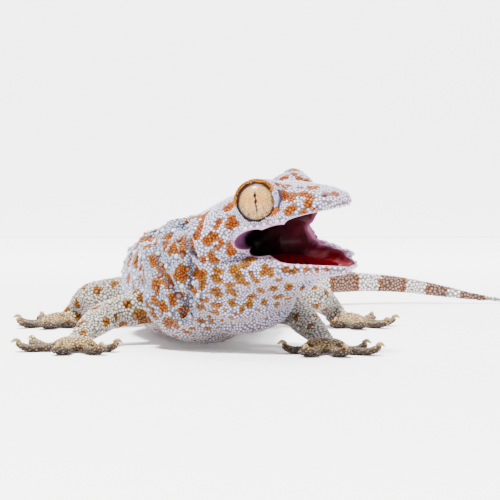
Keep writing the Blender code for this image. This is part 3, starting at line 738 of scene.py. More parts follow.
THROAT_SPOTS: Rows = (
    (254, 256, 3.5), (250, 259, 4.5), (270, 259, 3.5), (284, 261, 2.5), (245, 265, 4.5), (265, 268, 4.5),
    (263, 273, 3.5), (270, 270, 3), (272, 275, 2.5), (285, 270, 3.5), (291, 271, 4), (295, 269, 3.5), (234, 271, 4.5),
    (238, 275, 4.5), (251, 273, 2), (253, 277, 2.2), (256, 281, 3), (278.5, 280, 2.8), (274, 288, 3.2),
    (289, 287.5, 3.8), (302, 288, 2.4), (279, 296.5, 3.4), (289, 298, 2.4), (277, 304, 2), (264, 301.5, 3.2),
    (260, 310, 1.8), (231, 318.5, 1.6), (222, 320, 1.8), (241, 282, 4), (246, 283.5, 3.5), (193, 241, 4),
    (195, 246, 4), (211, 255, 3.2), (213, 259, 3.8), (217, 260, 2.5), (203, 260, 3.5), (198, 272, 5), (202, 274, 4),
    (200, 277, 3.5), (202, 283, 4.5), (201, 287, 4), (217, 271, 4.5), (216, 277, 4.5), (219, 280, 4), (216, 291, 5),
    (218, 295, 3.5), (230, 285, 4), (231, 290, 4), (234, 294, 3.2), (191, 285, 2.5), (192, 289, 2), (195, 292, 2.5),
    (201, 300, 2.5), (206, 300, 2.5), (199, 306, 2.5), (202, 307, 2.5), (214, 304, 3), (219, 305, 3), (232, 303, 3.5),
    (249, 304, 3.8), (251, 296, 3.5), (261, 290, 3.5), (214, 312, 2.8), (217, 313, 2.2), (209, 316, 1.8),
    (199, 318, 2.5), (202, 321, 2), (212, 321, 1.5), (242, 309, 2.5), (226, 311, 1.5), (236, 313.5, 1.8),
    (193, 328, 2), (187, 331, 2.2), (176, 336, 2.8), (207, 329, 1.8),
)
TRUNK_SPOTS: Rows = (
    (181, 239, 3), (184, 244, 3.5), (187, 247, 2.5), (185, 233, 2.5), (173, 247, 4.5), (170, 250, 3.5),
    (178, 251, 3.5), (182, 254, 3.5), (169, 238, 3.5), (166, 243, 3), (165, 247, 2.5), (157, 240, 2.8), (155, 244, 2),
    (157, 230, 2.5), (172, 237, 2.5), (154, 258, 4), (156, 263, 3.5), (163, 269, 4), (162, 275, 3.5), (167, 279, 4),
    (171, 283, 4.5), (169, 286, 3), (181, 269, 4.5), (181, 275, 5.5), (155, 286, 5), (155, 298, 3), (171, 301, 4.5),
    (172, 297, 3.5), (163, 306, 4.5), (181, 294, 3), (182, 297, 2.5), (184, 309, 4.5), (184, 314, 3.5),
)
EDGE_SPOTS: Rows = (
    (150, 242, 3), (148, 246, 2), (140, 241, 2.8), (143, 265, 3.5), (141, 270, 4), (145, 275, 3), (130, 261, 2.5),
    (129, 279, 2.8), (134, 285, 2.5), (141, 297, 2.6), (127, 304, 2.5), (134, 252, 2.4), (137, 290, 2),
)
ARM_SPOTS: Rows = (
    (148, 304, 2), (140, 314, 4), (142, 318, 3.5), (145, 322, 3.5), (148, 326, 4), (154, 315, 3.2), (134, 328, 4.5),
    (134, 332, 3.5), (157, 330, 3), (158, 334, 3.2), (168, 324, 4), (173, 322, 3.5), (176, 326, 2.5), (121, 331, 4),
)


def widened(spots: Rows, share: float) -> Rows:
    """Spots at the same places with wider radii."""
    return tuple((column, row, radius * share) for column, row, radius in spots)


@dataclass(frozen=True)
class Camera:
    """The photo's camera.

    Args:
        place: where it stands.
        down: how far it looks down, in degrees.
        lens: focal length on a sensor of the given width.
        sensor: the sensor's width.
        pixels: the photo's width and height.
    """

    place: Row = (13.0, -550.0, 44.0)
    down: float = 2.2
    lens: float = 100.0
    sensor: float = 24.0
    pixels: int = 500

    def ray(self, column: float, row: float) -> Vector:
        """The way from the camera through a pixel.

        Args:
            column: the pixel's place from the left.
            row: its place from the top.

        Returns:
            A unit vector.
        """
        reach = self.lens / self.sensor * self.pixels
        tilt = math.radians(self.down)
        across, up = float(column - self.pixels / 2) / reach, float(self.pixels / 2 - row) / reach
        ahead = Vector((0, math.cos(tilt), -math.sin(tilt)))
        upward = Vector((0, math.sin(tilt), math.cos(tilt)))
        return (ahead + across * Vector((1, 0, 0)) + up * upward).normalized()

    def hits(self, tree: BVHTree, path: np.ndarray) -> np.ndarray:
        """Where the rays through a path's pixels meet a surface, one point to a row."""
        found = [tree.ray_cast(Vector(self.place), self.ray(*pixel))[0] for pixel in path]
        return np.array([hit for hit in found if hit is not None])

    def build(self) -> None:
        """Sets the scene's camera."""
        data = bpy.data.cameras.new("camera")
        data.lens, data.sensor_width, data.clip_start = self.lens, self.sensor, 0.01
        obj = bpy.data.objects.new("camera", data)
        obj.location = Vector(self.place) * MM
        obj.rotation_euler = (math.radians(90 - self.down), 0, 0)
        bpy.context.scene.collection.objects.link(obj)
        bpy.context.scene.camera = obj


def gathered(objects: list[bpy.types.Object]) -> tuple[np.ndarray, list[list[int]]]:
    """The meshes of several objects as one.

    Args:
        objects: the objects.

    Returns:
        The points in millimetres, and the points of each face.
    """
    points, faces, start = [], [], 0
    for obj in objects:
        points.append(points_of(obj))
        faces += [[start + i for i in face.vertices] for face in obj.data.polygons]
        start += len(obj.data.vertices)
    return np.vstack(points), faces


def joined(name: str, objects: list[bpy.types.Object]) -> bpy.types.Object:
    """One mesh object that holds the faces of several, which are removed.

    Args:
        name: the new object's name.
        objects: the objects to join.

    Returns:
        The new object.
    """
    points, faces = gathered(objects)
    for obj in objects:
        bpy.data.objects.remove(obj, do_unlink=True)
    return mesh_object(name, points * MM, faces)


def tree_of(objects: list[bpy.types.Object]) -> BVHTree:
    """The surface of one or more objects, in millimetres, ready to be asked what lies near or ahead."""
    points, faces = gathered(objects)
    return BVHTree.FromPolygons(points.tolist(), faces)


def ripple(points: np.ndarray, size: float, seed: int) -> np.ndarray:
    """A smooth random field, from about -1 to 1.

    Args:
        points: where to read it, one point to a row.
        size: the width of its waves.
        seed: which field.

    Returns:
        One number to a point.
    """
    rng = np.random.default_rng(seed)
    total = np.zeros(len(points))
    for _ in range(6):
        way = rng.normal(size=3)
        way /= np.linalg.norm(way)
        total += np.sin(points @ way * (2 * math.pi / (size * rng.uniform(0.7, 1.5))) + rng.uniform(0, 6.3))
    return total / 3


def finder(points: np.ndarray) -> KDTree:
    """A tree that finds the nearest of some points.

    Args:
        points: the points, one to a row.

    Returns:
        The tree.
    """
    tree = KDTree(len(points))
    for i, point in enumerate(points.tolist()):
        tree.insert(point, i)
    tree.balance()
    return tree


def reach_of(points: np.ndarray, path: np.ndarray) -> np.ndarray:
    """How far each point lies from a path.

    Args:
        points: the points.
        path: the path's points in turn.

    Returns:
        One distance to a point.
    """
    away = np.full(len(points), np.inf)
    for a, b in zip(path[:-1], path[1:]):
        along = np.clip((points - a) @ (b - a) / max((b - a) @ (b - a), 1e-9), 0, 1)
        away = np.minimum(away, np.linalg.norm(points - a - along[:, None] * (b - a), axis=1))
    return away


# A fold that is both pressed in and darkened with painted shade, as pixels of the photo.
SHOULDER_FOLD: Rows = ((150, 236), (156, 252), (161, 270), (172, 289), (189, 306))


@dataclass(frozen=True)
class Stroke:
    """A line of colour on the head or the trunk, placed by the photo's pixels and repeated on the far side.

    Args:
        name: what it marks.
        pixels: its course.
        half: half its width.
        colour: its colour.
        share: how much of the ground it hides.
        bare: whether scales stay away from it.
        depth: how far behind its nearest point it may reach.
    """

    name: str
    pixels: Rows
    half: float
    colour: Row
    share: float = 1.0
    bare: bool = False
    depth: float = 14.0

    def away(self, points: np.ndarray, tree: BVHTree, camera: Camera, frame: Matrix) -> np.ndarray:
        """How far points lie from the stroke or from its mirror image.

        Args:
            points: the points.
            tree: the skin's surface.
            camera: the photo's camera.
            frame: the head's frame, across whose middle the stroke is mirrored.

        Returns:
            One distance to a point.
        """
        hits = camera.hits(tree, spline(self.pixels, 5))
        hits = hits[hits[:, 1] < hits[:, 1].min() + self.depth]
        other = placed(placed(hits, frame.inverted()) * (1, -1, 1), frame)
        return np.minimum(reach_of(points, hits), reach_of(points, other))


STROKES = (
    Stroke("upper lip", ((252, 229), (270, 223.5), (300, 216), (320, 210), (345, 204)), 0.8, (206, 168, 200), 0.5),
    Stroke("lower lip", ((254, 254), (270, 259), (285, 261), (310, 263.5), (330, 264), (350, 262)), 1.1,
           (226, 190, 206), 0.6),
    Stroke("corner", ((231.5, 233), (232.5, 240)), 0.8, (150, 116, 156), 0.6),
    Stroke("lower lid", ((235, 207), (238, 216.5), (245, 221.5), (255, 223)), 0.7, (196, 192, 222)),
    Stroke("front lid", ((274, 190), (276, 198), (274.5, 207)), 0.7, (196, 184, 216)),
    # The lid groove is painted shade: a dark line where the groove in front of the eye lies in shade.
    Stroke("lid groove", ((279, 190), (280.5, 198), (278.5, 207)), 0.35, (70, 56, 84)),
    Stroke("upper lid", ((235, 202), (237.5, 192.5), (245, 185), (255, 182), (265, 184.5), (269.5, 188.5)), 1.0,
           (176, 104, 0)),
    Stroke("under the eye", ((256, 221), (263, 217.5), (270, 214), (276.5, 210)), 0.75, (176, 92, 0)),
    Stroke("snout", ((338, 200), (346, 204)), 1.6, (206, 184, 204), 0.6),
    Stroke("nostril", ((325.5, 193.6), (330.5, 194.6)), 0.85, (104, 14, 34), 1.0, True),
    Stroke("ear", ((190.5, 248), (194.5, 253.5), (197.5, 258)), 0.5, (34, 24, 30), 1.0, True),
    # The neck fold and the shoulder fold are painted shade, darkening the creases that the clay presses in.
    Stroke("neck fold", ((184, 226), (187, 240), (190, 256), (191, 276), (188, 296), (184, 312)), 0.45, (92, 82, 100),
           0.7),
    Stroke("shoulder fold", SHOULDER_FOLD, 0.45, (92, 82, 100), 0.6),
    Stroke("first bar", ((306, 263), (306.5, 270)), 0.62, (164, 86, 0)),
    Stroke("second bar", ((317, 264), (317, 271)), 0.55, (164, 86, 0)),
    Stroke("third bar", ((328, 263.5), (327, 270)), 0.55, (164, 92, 0)),
)


@dataclass
class Clay:
    """The animal's flesh as one closed skin, a coat's depth inside the solids.

    Args:
        head: the head's form.
        camera: the photo's camera, by whose pixels the folds are placed.
        voxel: the width of the mesh.
        passes: how often the skin is smoothed everywhere and over the joins.
        coat: how deep the coat of scales is.
        creases: folds as pixels of the photo, each with its depth and width.
        lumps: how high and how wide the lumps of the loose skin on the body are.
        near: how far from the mouth's lining its distance is still measured.
        touch: how near a cut's surface a point of the lining lies.
    """

    head: Head
    camera: Camera
    voxel: float = 0.5
    passes: tuple[int, int] = (5, 70)
    coat: float = 0.25
    creases: tuple[tuple[Rows, float, float], ...] = (
        (SHOULDER_FOLD, 1.5, 1.6),
        (((172, 236), (178, 252), (186, 266)), 0.7, 1.3),
        (((135, 262), (140, 280), (152, 294)), 0.6, 1.2),
        (((205, 318), (232, 326), (262, 322), (285, 312)), 0.8, 1.6),
        (((176, 262), (200, 272), (228, 274)), 0.4, 1.4),
        (((112, 306), (118, 318), (128, 328)), 0.6, 1.0),
        (((182, 222), (186, 238), (190, 256), (191, 276), (188, 296), (184, 312)), 1.9, 1.6),
    )
    lumps: Row = (0.32, 4.4)
    near: float = 3.0
    touch: float = 0.02

    def build(self) -> tuple[bpy.types.Object, np.ndarray, np.ndarray]:
        """Makes the skin.

        Returns:
            The skin, for each of its points whether it is IN_MOUTH or IN_SOCKET, and how far it lies from the mouth.
        """
        made = [SPINE.build()] + [limb.build() for limb in LIMBS] + [egg.build() for egg in THROAT]
        for foot in FEET:
            made += foot.volumes()
        body = joined("skin", made + self.head.volumes())
        remesh = body.modifiers.new("one_skin", "REMESH")
        remesh.mode, remesh.voxel_size = "VOXEL", self.voxel * MM
        settled(body)
        self.smooth(body)
        self.crease(body)
        moved_to(body, points_of(body) - self.coat * normals_of(body))
        hollow, openings = self.head.mouth_hollow(), self.head.openings()
        inner, sockets = tree_of(hollow), tree_of(openings)
        self.cut(body, hollow + openings)
        points = points_of(body)
        gaps = [inner.find_nearest(point, self.near)[3] for point in points.tolist()]
        from_mouth = np.array([self.near if gap is None else gap for gap in gaps])
        lining = from_mouth < self.touch
        socket = np.array([sockets.find_nearest(p, self.touch)[0] is not None for p in points.tolist()])
        points[:, 2] = np.maximum(points[:, 2], self.touch)
        moved_to(body, points)
        return body, np.where(lining, IN_MOUTH, np.where(socket, IN_SOCKET, 0)), from_mouth

    def smooth(self, body: bpy.types.Object) -> None:
        """Draws the skin smooth, most of all over the joins.

        Args:
            body: the clay.
        """
        points = points_of(body)
        weight = np.zeros(len(points))
        for *centre, reach in FOLDS:
            near = 1 - np.linalg.norm(points - centre, axis=1) / reach
            weight = np.maximum(weight, np.clip(2 * near, 0, 1))
        group = body.vertex_groups.new(name="folds")
        for i in np.nonzero(weight)[0]:
            group.add([int(i)], float(weight[i]), "REPLACE")
        for passes, name in zip(self.passes, ("", "folds")):
            mod = body.modifiers.new("smooth", "SMOOTH")
            mod.factor, mod.iterations, mod.vertex_group = 0.5, passes, name
        settled(body)

    def crease(self, body: bpy.types.Object) -> None:
        """Presses the folds of loose skin into the clay where the photo shows them.

        Args:
            body: the clay.
        """
        tree, points, normals = tree_of([body]), points_of(body), normals_of(body)
        inward = np.zeros(len(points))
        for pixels, depth, width in self.creases:
            share = reach_of(points, self.camera.hits(tree, spline(pixels, 6))) / width
            inward += depth * (np.exp(-(share**2)) - 0.45 * np.exp(-((share - 1.9) ** 2) * 1.4))
        loose = np.clip((points[:, 1] + 38) / 6, 0, 1) * np.clip((62 - points[:, 1]) / 8, 0, 1)
        loose *= np.clip((points[:, 2] - 6) / 5, 0, 1) * np.clip(1.6 - np.abs(points[:, 0]) / 18, 0, 1)
        inward += self.lumps[0] * loose * ripple(points, self.lumps[1], 12)
        moved_to(body, points - inward[:, None] * normals)

    @staticmethod
    def cut(body: bpy.types.Object, tools: list[bpy.types.Object]) -> None:
        """Cuts the tools from the clay and removes them.

        Args:
            body: the clay.
            tools: closed bodies.
        """
        group = bpy.data.collections.new("tools")
        bpy.context.scene.collection.children.link(group)
        for tool in tools:
            group.objects.link(tool)
        mod = body.modifiers.new("tools", "BOOLEAN")
        mod.operation, mod.operand_type, mod.collection, mod.solver = "DIFFERENCE", "COLLECTION", group, "MANIFOLD"
        settled(body)
        for tool in tools:
            bpy.data.objects.remove(tool, do_unlink=True)
        bpy.data.collections.remove(group)


@dataclass
class Atlas:
    """Which part of the animal a point belongs to, and its place on the skin rolled out flat.

    Args:
        head: the head's form.
        span: how many millimetres of skin lie across the whole map.
        vent: where along the world's second axis the tail begins.
        batch: how many points are read at once.
        axes: for each axis its region, its rows of x, y, z and radius, and its corner on the map.
    """

    head: Head
    span: float = 260.0
    vent: float = 62.0
    batch: int = 20000
    axes: list[tuple[Region, np.ndarray, np.ndarray]] = field(default_factory=list)

    def __post_init__(self) -> None:
        """Lists the axes."""
        trunk = spline(SPINE.keys, 5)[:, :4]
        at_vent = int(np.argmin(np.abs(trunk[:, 1] - self.vent)))
        self.axes = [
            (Region.TRUNK, trunk[6 : at_vent + 1], np.array((0.02, 0.02))),
            (Region.TAIL, trunk[at_vent:], np.array((0.45, 0.02))),
            (Region.HEAD, self.in_head(self.head.skull, self.head.frame())[4:], np.array((0.02, 0.52))),
            (Region.JAW, self.in_head(self.head.jaw, self.head.jaw_frame())[6:], np.array((0.23, 0.52))),
        ]
        for i, limb in enumerate(LIMBS):
            self.axes.append((Region.LIMB, spline(limb.keys, 4)[9:, :4], np.array((0.42, 0.50 + 0.12 * i))))
        for i, foot in enumerate(FEET):
            palm = np.array(foot.palm)
            shares = np.linspace(0, 1, 6)[:, None]
            rows = np.vstack([palm + (np.array(tip) - palm) * shares for tip in foot.toes])
            rows = np.column_stack((rows, np.full(len(rows), 1.2), np.full(len(rows), 2.4)))
            self.axes.append((Region.HAND, rows, np.array((0.62 + 0.18 * (i % 2), 0.52 + 0.22 * (i // 2)))))

    @staticmethod
    def in_head(keys: Rows, frame: Matrix) -> np.ndarray:
        """The axis of the skull or of the jaw.

        Args:
            keys: its rows in its frame.
            frame: the frame's matrix.

        Returns:
            Rows of x, y, z and radius.
        """
        rows = spline(keys, 3)
        middle = np.column_stack((rows[:, 0], np.zeros(len(rows)), (rows[:, 2] + rows[:, 4]) / 2))
        return np.column_stack((placed(middle, frame), rows[:, 1]))

    def read(self, points: np.ndarray) -> tuple[np.ndarray, np.ndarray]:
        """Finds each point's region and its place on the rolled-out skin.

        Args:
            points: points of the skin.

        Returns:
            The regions' numbers, and the places from 0 to 1.
        """
        score = np.full(len(points), np.inf)
        region = np.zeros(len(points), int)
        place = np.zeros((len(points), 2))
        for kind, rows, corner in self.axes:
            along = np.r_[0, np.cumsum(np.linalg.norm(np.diff(rows[:, :3], axis=0), axis=1))]
            for start in range(0, len(points), self.batch):
                part = slice(start, start + self.batch)
                gap = np.linalg.norm(points[part, None] - rows[None, :, :3], axis=2) / rows[None, :, 3]
                near = gap.argmin(1)
                best = gap[np.arange(len(near)), near]
                better = best < score[part]
                away = points[part] - rows[near, :3]
                if kind is Region.HAND:
                    flat = (points[part, :2] - rows[:, :2].min(0)) + 3
                    spot = corner + flat / self.span + (points[part, 2:] < 1.0) * np.array((0.0, 0.001))
                else:
                    turn = np.arctan2(np.hypot(away[:, 0], away[:, 1]) * np.sign(away[:, 0] + 1e-9), -away[:, 2])
                    around = (turn / (2 * math.pi) + 0.5) * rows[near, 3] * 6 / self.span
                    spot = corner + np.column_stack((along[near] / self.span, around))
                score[part] = np.where(better, best, score[part])
                region[part] = np.where(better, kind.value, region[part])
                place[part] = np.where(better[:, None], spot, place[part])
        return region, place


def linear(*colour: float) -> np.ndarray:
    """A colour from 0 to 1 in linear light, from its screen values from 0 to 255."""
    share = np.array(colour) / 255
    return np.where(share <= 0.04045, share / 12.92, ((share + 0.055) / 1.055) ** 2.4)


def blended(colours: np.ndarray, other: Row, share: np.ndarray) -> np.ndarray:
    """Colours in linear light, each drawn by its share towards another, which is given as screen values."""
    return colours + (linear(*other) - colours) * np.asarray(share).reshape(-1, 1)


@dataclass
class Markings:
    """The spots, bands and ground colours of the skin and its scales.

    Args:
        head: the head's form.
        camera: the photo's camera, by whose pixels the near side's spots are placed.
        seen: spots of the near side as pixels and a radius in pixels.
        strokes: the lines of colour on the head.
        drawn: the strokes with the skin on which they lie.
        centres: where the spots stand.
        radii: how wide each is.
        pixel: how wide a pixel of the photo is on the animal, with a little spread.
        neck: how far along the head's frame the trunk's colours reach.
        rings: how far along the world's first axis the tail's dark rings begin and end, by turns.
        ring: the length of each ring nearer the body.
        ground: each region's ground colour.
        spot: each region's spot colour.
        rim: the spot colour's strength in red, green and blue at a spot's edge.
        core: its strength at a spot's middle.
        chest_painted_shadow: painted shadow on the lower left flank beside the left arm: its middle, its reach and how
            much red, green and blue it takes.
        spacing: each region's least distance between spots and a spot's radius.
        tries: how many of the skin's points are tried for the spots that the photo doesn't show.
        grazing: the least slope to the line of sight by which a seen spot is widened, and the power of it.
        blur: how soft a stroke's edge is.
        hidden: how far behind another surface a point is out of sight.
        belly: the underside's colour, its own pale tone darkened as painted shade where it faces the floor.
        pad: the toe pads' colour.
        pad_top: how high above the floor it reaches.
        dusk: how much darker the left arm and hand are painted, as painted shadow cast by the head.
        top: the colour of the large scales' tops.
        dark_ring, pale_ring, ring_edge: the tail's colours.
    """

    head: Head
    camera: Camera
    seen: Rows = (HEAD_SPOTS + widened(THROAT_SPOTS, 0.92) + widened(TRUNK_SPOTS, 1.1) + widened(EDGE_SPOTS, 1.6)
                  + widened(ARM_SPOTS, 1.25))
    strokes: tuple[Stroke, ...] = STROKES
    drawn: list[tuple[Stroke, BVHTree]] = field(default_factory=list)
    centres: np.ndarray = field(default_factory=lambda: np.zeros((0, 3)))
    radii: np.ndarray = field(default_factory=lambda: np.zeros(0))
    pixel: float = 0.305
    neck: float = 2.0
    rings: Row = (37.7, 47.2, 54.9, 63.6, 70.2, 77.9, 82.0, 90.9)
    ring: float = 8.5
    ground: dict[Region, tuple[float, float, float]] = field(default_factory=lambda: {
        Region.HEAD: (196, 190, 214), Region.JAW: (190, 182, 212), Region.TRUNK: (164, 168, 190),
        Region.TAIL: (208, 200, 198), Region.LIMB: (180, 172, 160), Region.HAND: (180, 150, 104)})
    spot: dict[Region, tuple[float, float, float]] = field(default_factory=lambda: {
        Region.HEAD: (152, 78, 0), Region.JAW: (150, 94, 0), Region.TRUNK: (146, 80, 0),
        Region.TAIL: (120, 78, 62), Region.LIMB: (140, 84, 0), Region.HAND: (140, 92, 20)})
    rim: np.ndarray = field(default_factory=lambda: np.array((1.1, 1.3, 1.0)))
    core: np.ndarray = field(default_factory=lambda: np.array((0.72, 0.42, 1.0)))
    chest_painted_shadow: tuple[Row, Row, Row] = ((19.0, 0.0, 5.6), (6.0, 16.0, 4.2), (0.62, 0.66, 0.72))
    spacing: dict[Region, tuple[float, float]] = field(default_factory=lambda: {
        Region.HEAD: (4.6, 1.7), Region.JAW: (4.4, 1.2), Region.TRUNK: (5.6, 2.1),
        Region.TAIL: (99.0, 0.0), Region.LIMB: (4.4, 1.3), Region.HAND: (4.2, 0.8)})
    tries: int = 14000
    grazing: Row = (0.3, 0.3)
    blur: float = 0.25
    hidden: float = 0.8
    belly: Row = (184, 168, 170)
    pad: Row = (66, 52, 46)
    pad_top: float = 2.3
    dusk: float = 0.26
    top: Row = (236, 234, 240)
    dark_ring: Row = (136, 106, 94)
    pale_ring: Row = (222, 214, 212)
    ring_edge: Row = (132, 82, 56)

    def place(self, tree: BVHTree, points: np.ndarray, region: np.ndarray) -> None:
        """Sets out the spots: those that the photo shows, then others over the rest of the skin.

        Args:
            tree: the skin's surface.
            points: the skin's points.
            region: the region of each.
        """
        rng = np.random.default_rng(SEED)
        centres, radii = [], []
        least, power = self.grazing
        for column, row, radius in self.seen:
            ray = self.camera.ray(column, row)
            hit, normal = tree.ray_cast(Vector(self.camera.place), ray)[:2]
            if hit is not None:
                centres.append(np.array(hit))
                radii.append(radius * self.pixel / max(abs(normal.dot(ray)), least) ** power)
        eye = np.array(self.camera.place)
        for i in rng.permutation(len(points))[: self.tries]:
            gap, radius = self.spacing[Region(region[i])]
            if radius == 0:
                continue
            if centres and np.min(np.linalg.norm(np.array(centres) - points[i], axis=1)) < gap:
                continue
            if region[i] <= Region.TRUNK.value and self.in_sight(tree, points[i], eye):
                continue
            centres.append(points[i])
            radii.append(radius * rng.uniform(0.75, 1.2))
        self.centres, self.radii = np.array(centres), np.array(radii)
        self.drawn = [(stroke, tree) for stroke in self.strokes]

    def stroked(self, points: np.ndarray, region: np.ndarray, stroke: Stroke, tree: BVHTree) -> np.ndarray:
        """How far points of the head and the trunk lie inside a stroke.

        Args:
            points: the points.
            region: the region of each.
            stroke: the stroke.
            tree: the skin's surface.

        Returns:
            One share to a point, from 0 outside to 1 well inside.
        """
        share = np.zeros(len(points))
        body = np.nonzero(region <= Region.TRUNK.value)[0]
        away = stroke.away(points[body], tree, self.camera, self.head.frame())
        share[body] = np.clip((stroke.half - away) / self.blur + 0.5, 0, 1)
        return share

    def bare(self, points: np.ndarray, region: np.ndarray) -> np.ndarray:
        """Whether each point lies in a stroke that keeps scales away."""
        inside = [self.stroked(points, region, *drawn) > 0.5 for drawn in self.drawn if drawn[0].bare]
        return np.any(inside, axis=0)

    def in_sight(self, tree: BVHTree, point: np.ndarray, eye: np.ndarray) -> bool:
        """Whether the camera sees a point of the skin.

        Args:
            tree: the skin's surface.
            point: the point.
            eye: the camera's place.

        Returns:
            True if nothing stands before it.
        """
        way = Vector(point - eye)
        hit = tree.ray_cast(Vector(eye), way.normalized())[0]
        return hit is not None and (hit - Vector(eye)).length > way.length - self.hidden

    def looks(self, points: np.ndarray, region: np.ndarray) -> np.ndarray:
        """The region that each point is coloured as: the neck matches the trunk.

        Args:
            points: the points.
            region: the region of each.

        Returns:
            The regions.
        """
        ahead = placed(points, self.head.frame().inverted())[:, 0] + 0.8 * ripple(points, 9.0, 14)
        neck = (region <= Region.JAW.value) & (ahead < self.neck)
        return np.where(neck, Region.TRUNK.value, region)

    def at(self, points: np.ndarray, normals: np.ndarray, region: np.ndarray) -> np.ndarray:
        """The colour of the skin at each point.

        Args:
            points: the points.
            normals: the way the skin faces there.
            region: the region of each.

        Returns:
            Colours in linear light, one to a point.
        """
        region = self.looks(points, region)
        ground = np.array([linear(*self.ground[r]) for r in Region])[region]
        marks = np.array([linear(*self.spot[r]) for r in Region])[region]
        mottle = ripple(points, 9.0, 1)[:, None]
        ground = ground * (1 + 0.07 * mottle) * (1 + 0.05 * ripple(points, 1.7, 2)[:, None])
        # The underside takes the belly colour where it faces down near the floor: partly its own pale colour, partly
        # painted shade.
        under = np.clip(-normals[:, 2:] * 1.4 - 0.2, 0, 1) * np.clip(1.6 - points[:, 2:] / 14, 0, 1)
        ground = blended(ground, self.belly, under * 0.8)
        cover = np.zeros(len(points))
        tree = finder(self.centres)
        rough = 0.12 * ripple(points, 1.3, 3) + 0.10 * ripple(points, 3.0, 4)
        for i, point in enumerate(points.tolist()):
            _, near, gap = tree.find(point)
            share = gap / (self.radii[near] * (1 + rough[i]))
            cover[i] = 1 if share < 1 else 0
            marks[i] *= self.rim + (self.core - self.rim) * max(0.0, 1 - share)
        marks = marks * (1 + 0.16 * ripple(points, 2.2, 5)[:, None])
        cover = (cover * (1 - 0.1 * under[:, 0]))[:, None]
        colour = ground + (marks - ground) * cover
        # Painted shadow: the left arm and hand are darkened as if the head shades them.
        left_arm_shadow = np.clip((points[:, 0] - 10) / 8, 0, 1) * np.clip((-points[:, 1] - 18) / 6, 0, 1)
        colour = colour * (1 - self.dusk * left_arm_shadow * (region >= Region.LIMB.value))[:, None]
        # Painted shadow on the lower left flank beside the left arm, where it lies in shade.
        middle, reach, share = self.chest_painted_shadow
        shadow_patch = np.exp(-(((points - middle) / reach) ** 2).sum(axis=1))
        colour = colour * (1 - np.outer(shadow_patch * (region <= Region.TRUNK.value), share))
        pads = np.clip(self.pad_top - points[:, 2], 0, 1) * (region == Region.HAND.value)
        colour = blended(colour, self.pad, 0.85 * pads)
        for stroke, surface in self.drawn:
            colour = blended(colour, stroke.colour, stroke.share * self.stroked(points, region, stroke, surface))
        return np.clip(np.where((region == Region.TAIL.value)[:, None], self.ringed(points), colour), 0.005, 0.95)

    def ringed(self, points: np.ndarray) -> np.ndarray:
        """The tail's pale and dark rings.

        Args:
            points: points of the tail.

        Returns:
            Colours in linear light.
        """
        rows = spline(SPINE.keys, 12)
        rows = rows[rows[:, 1] > 58]
        along = np.r_[0, np.cumsum(np.linalg.norm(np.diff(rows[:, :3], axis=0), axis=1))]
        near = np.concatenate([np.linalg.norm(part[:, None] - rows[None, :, :3], axis=2).argmin(1)
                               for part in np.array_split(points, max(1, len(points) // 8000))])
        station = along[near] + 0.5 * ripple(points, 4.0, 6)
        last = rows[:, 0] > self.rings[0] - 5
        seen = np.interp(self.rings, rows[last, 0], along[last])
        edges = np.concatenate((np.arange(seen[0], 0, -self.ring)[:0:-1], seen))
        band = np.searchsorted(edges, station)
        dark = (len(edges) - band) % 2 == 1
        rim = np.abs(station[:, None] - edges).min(1) < 0.7
        colour = np.where(dark[:, None], linear(*self.dark_ring), linear(*self.pale_ring))
        colour = np.where((dark & rim)[:, None], linear(*self.ring_edge), colour)
        return colour * (1 + 0.14 * ripple(points, 2.0, 7)[:, None])

    def raised(self, points: np.ndarray) -> np.ndarray:
        """The pale tops of the large round scales, in linear light."""
        return linear(*self.top) * (1 + 0.06 * ripple(points, 11.0, 9)[:, None])


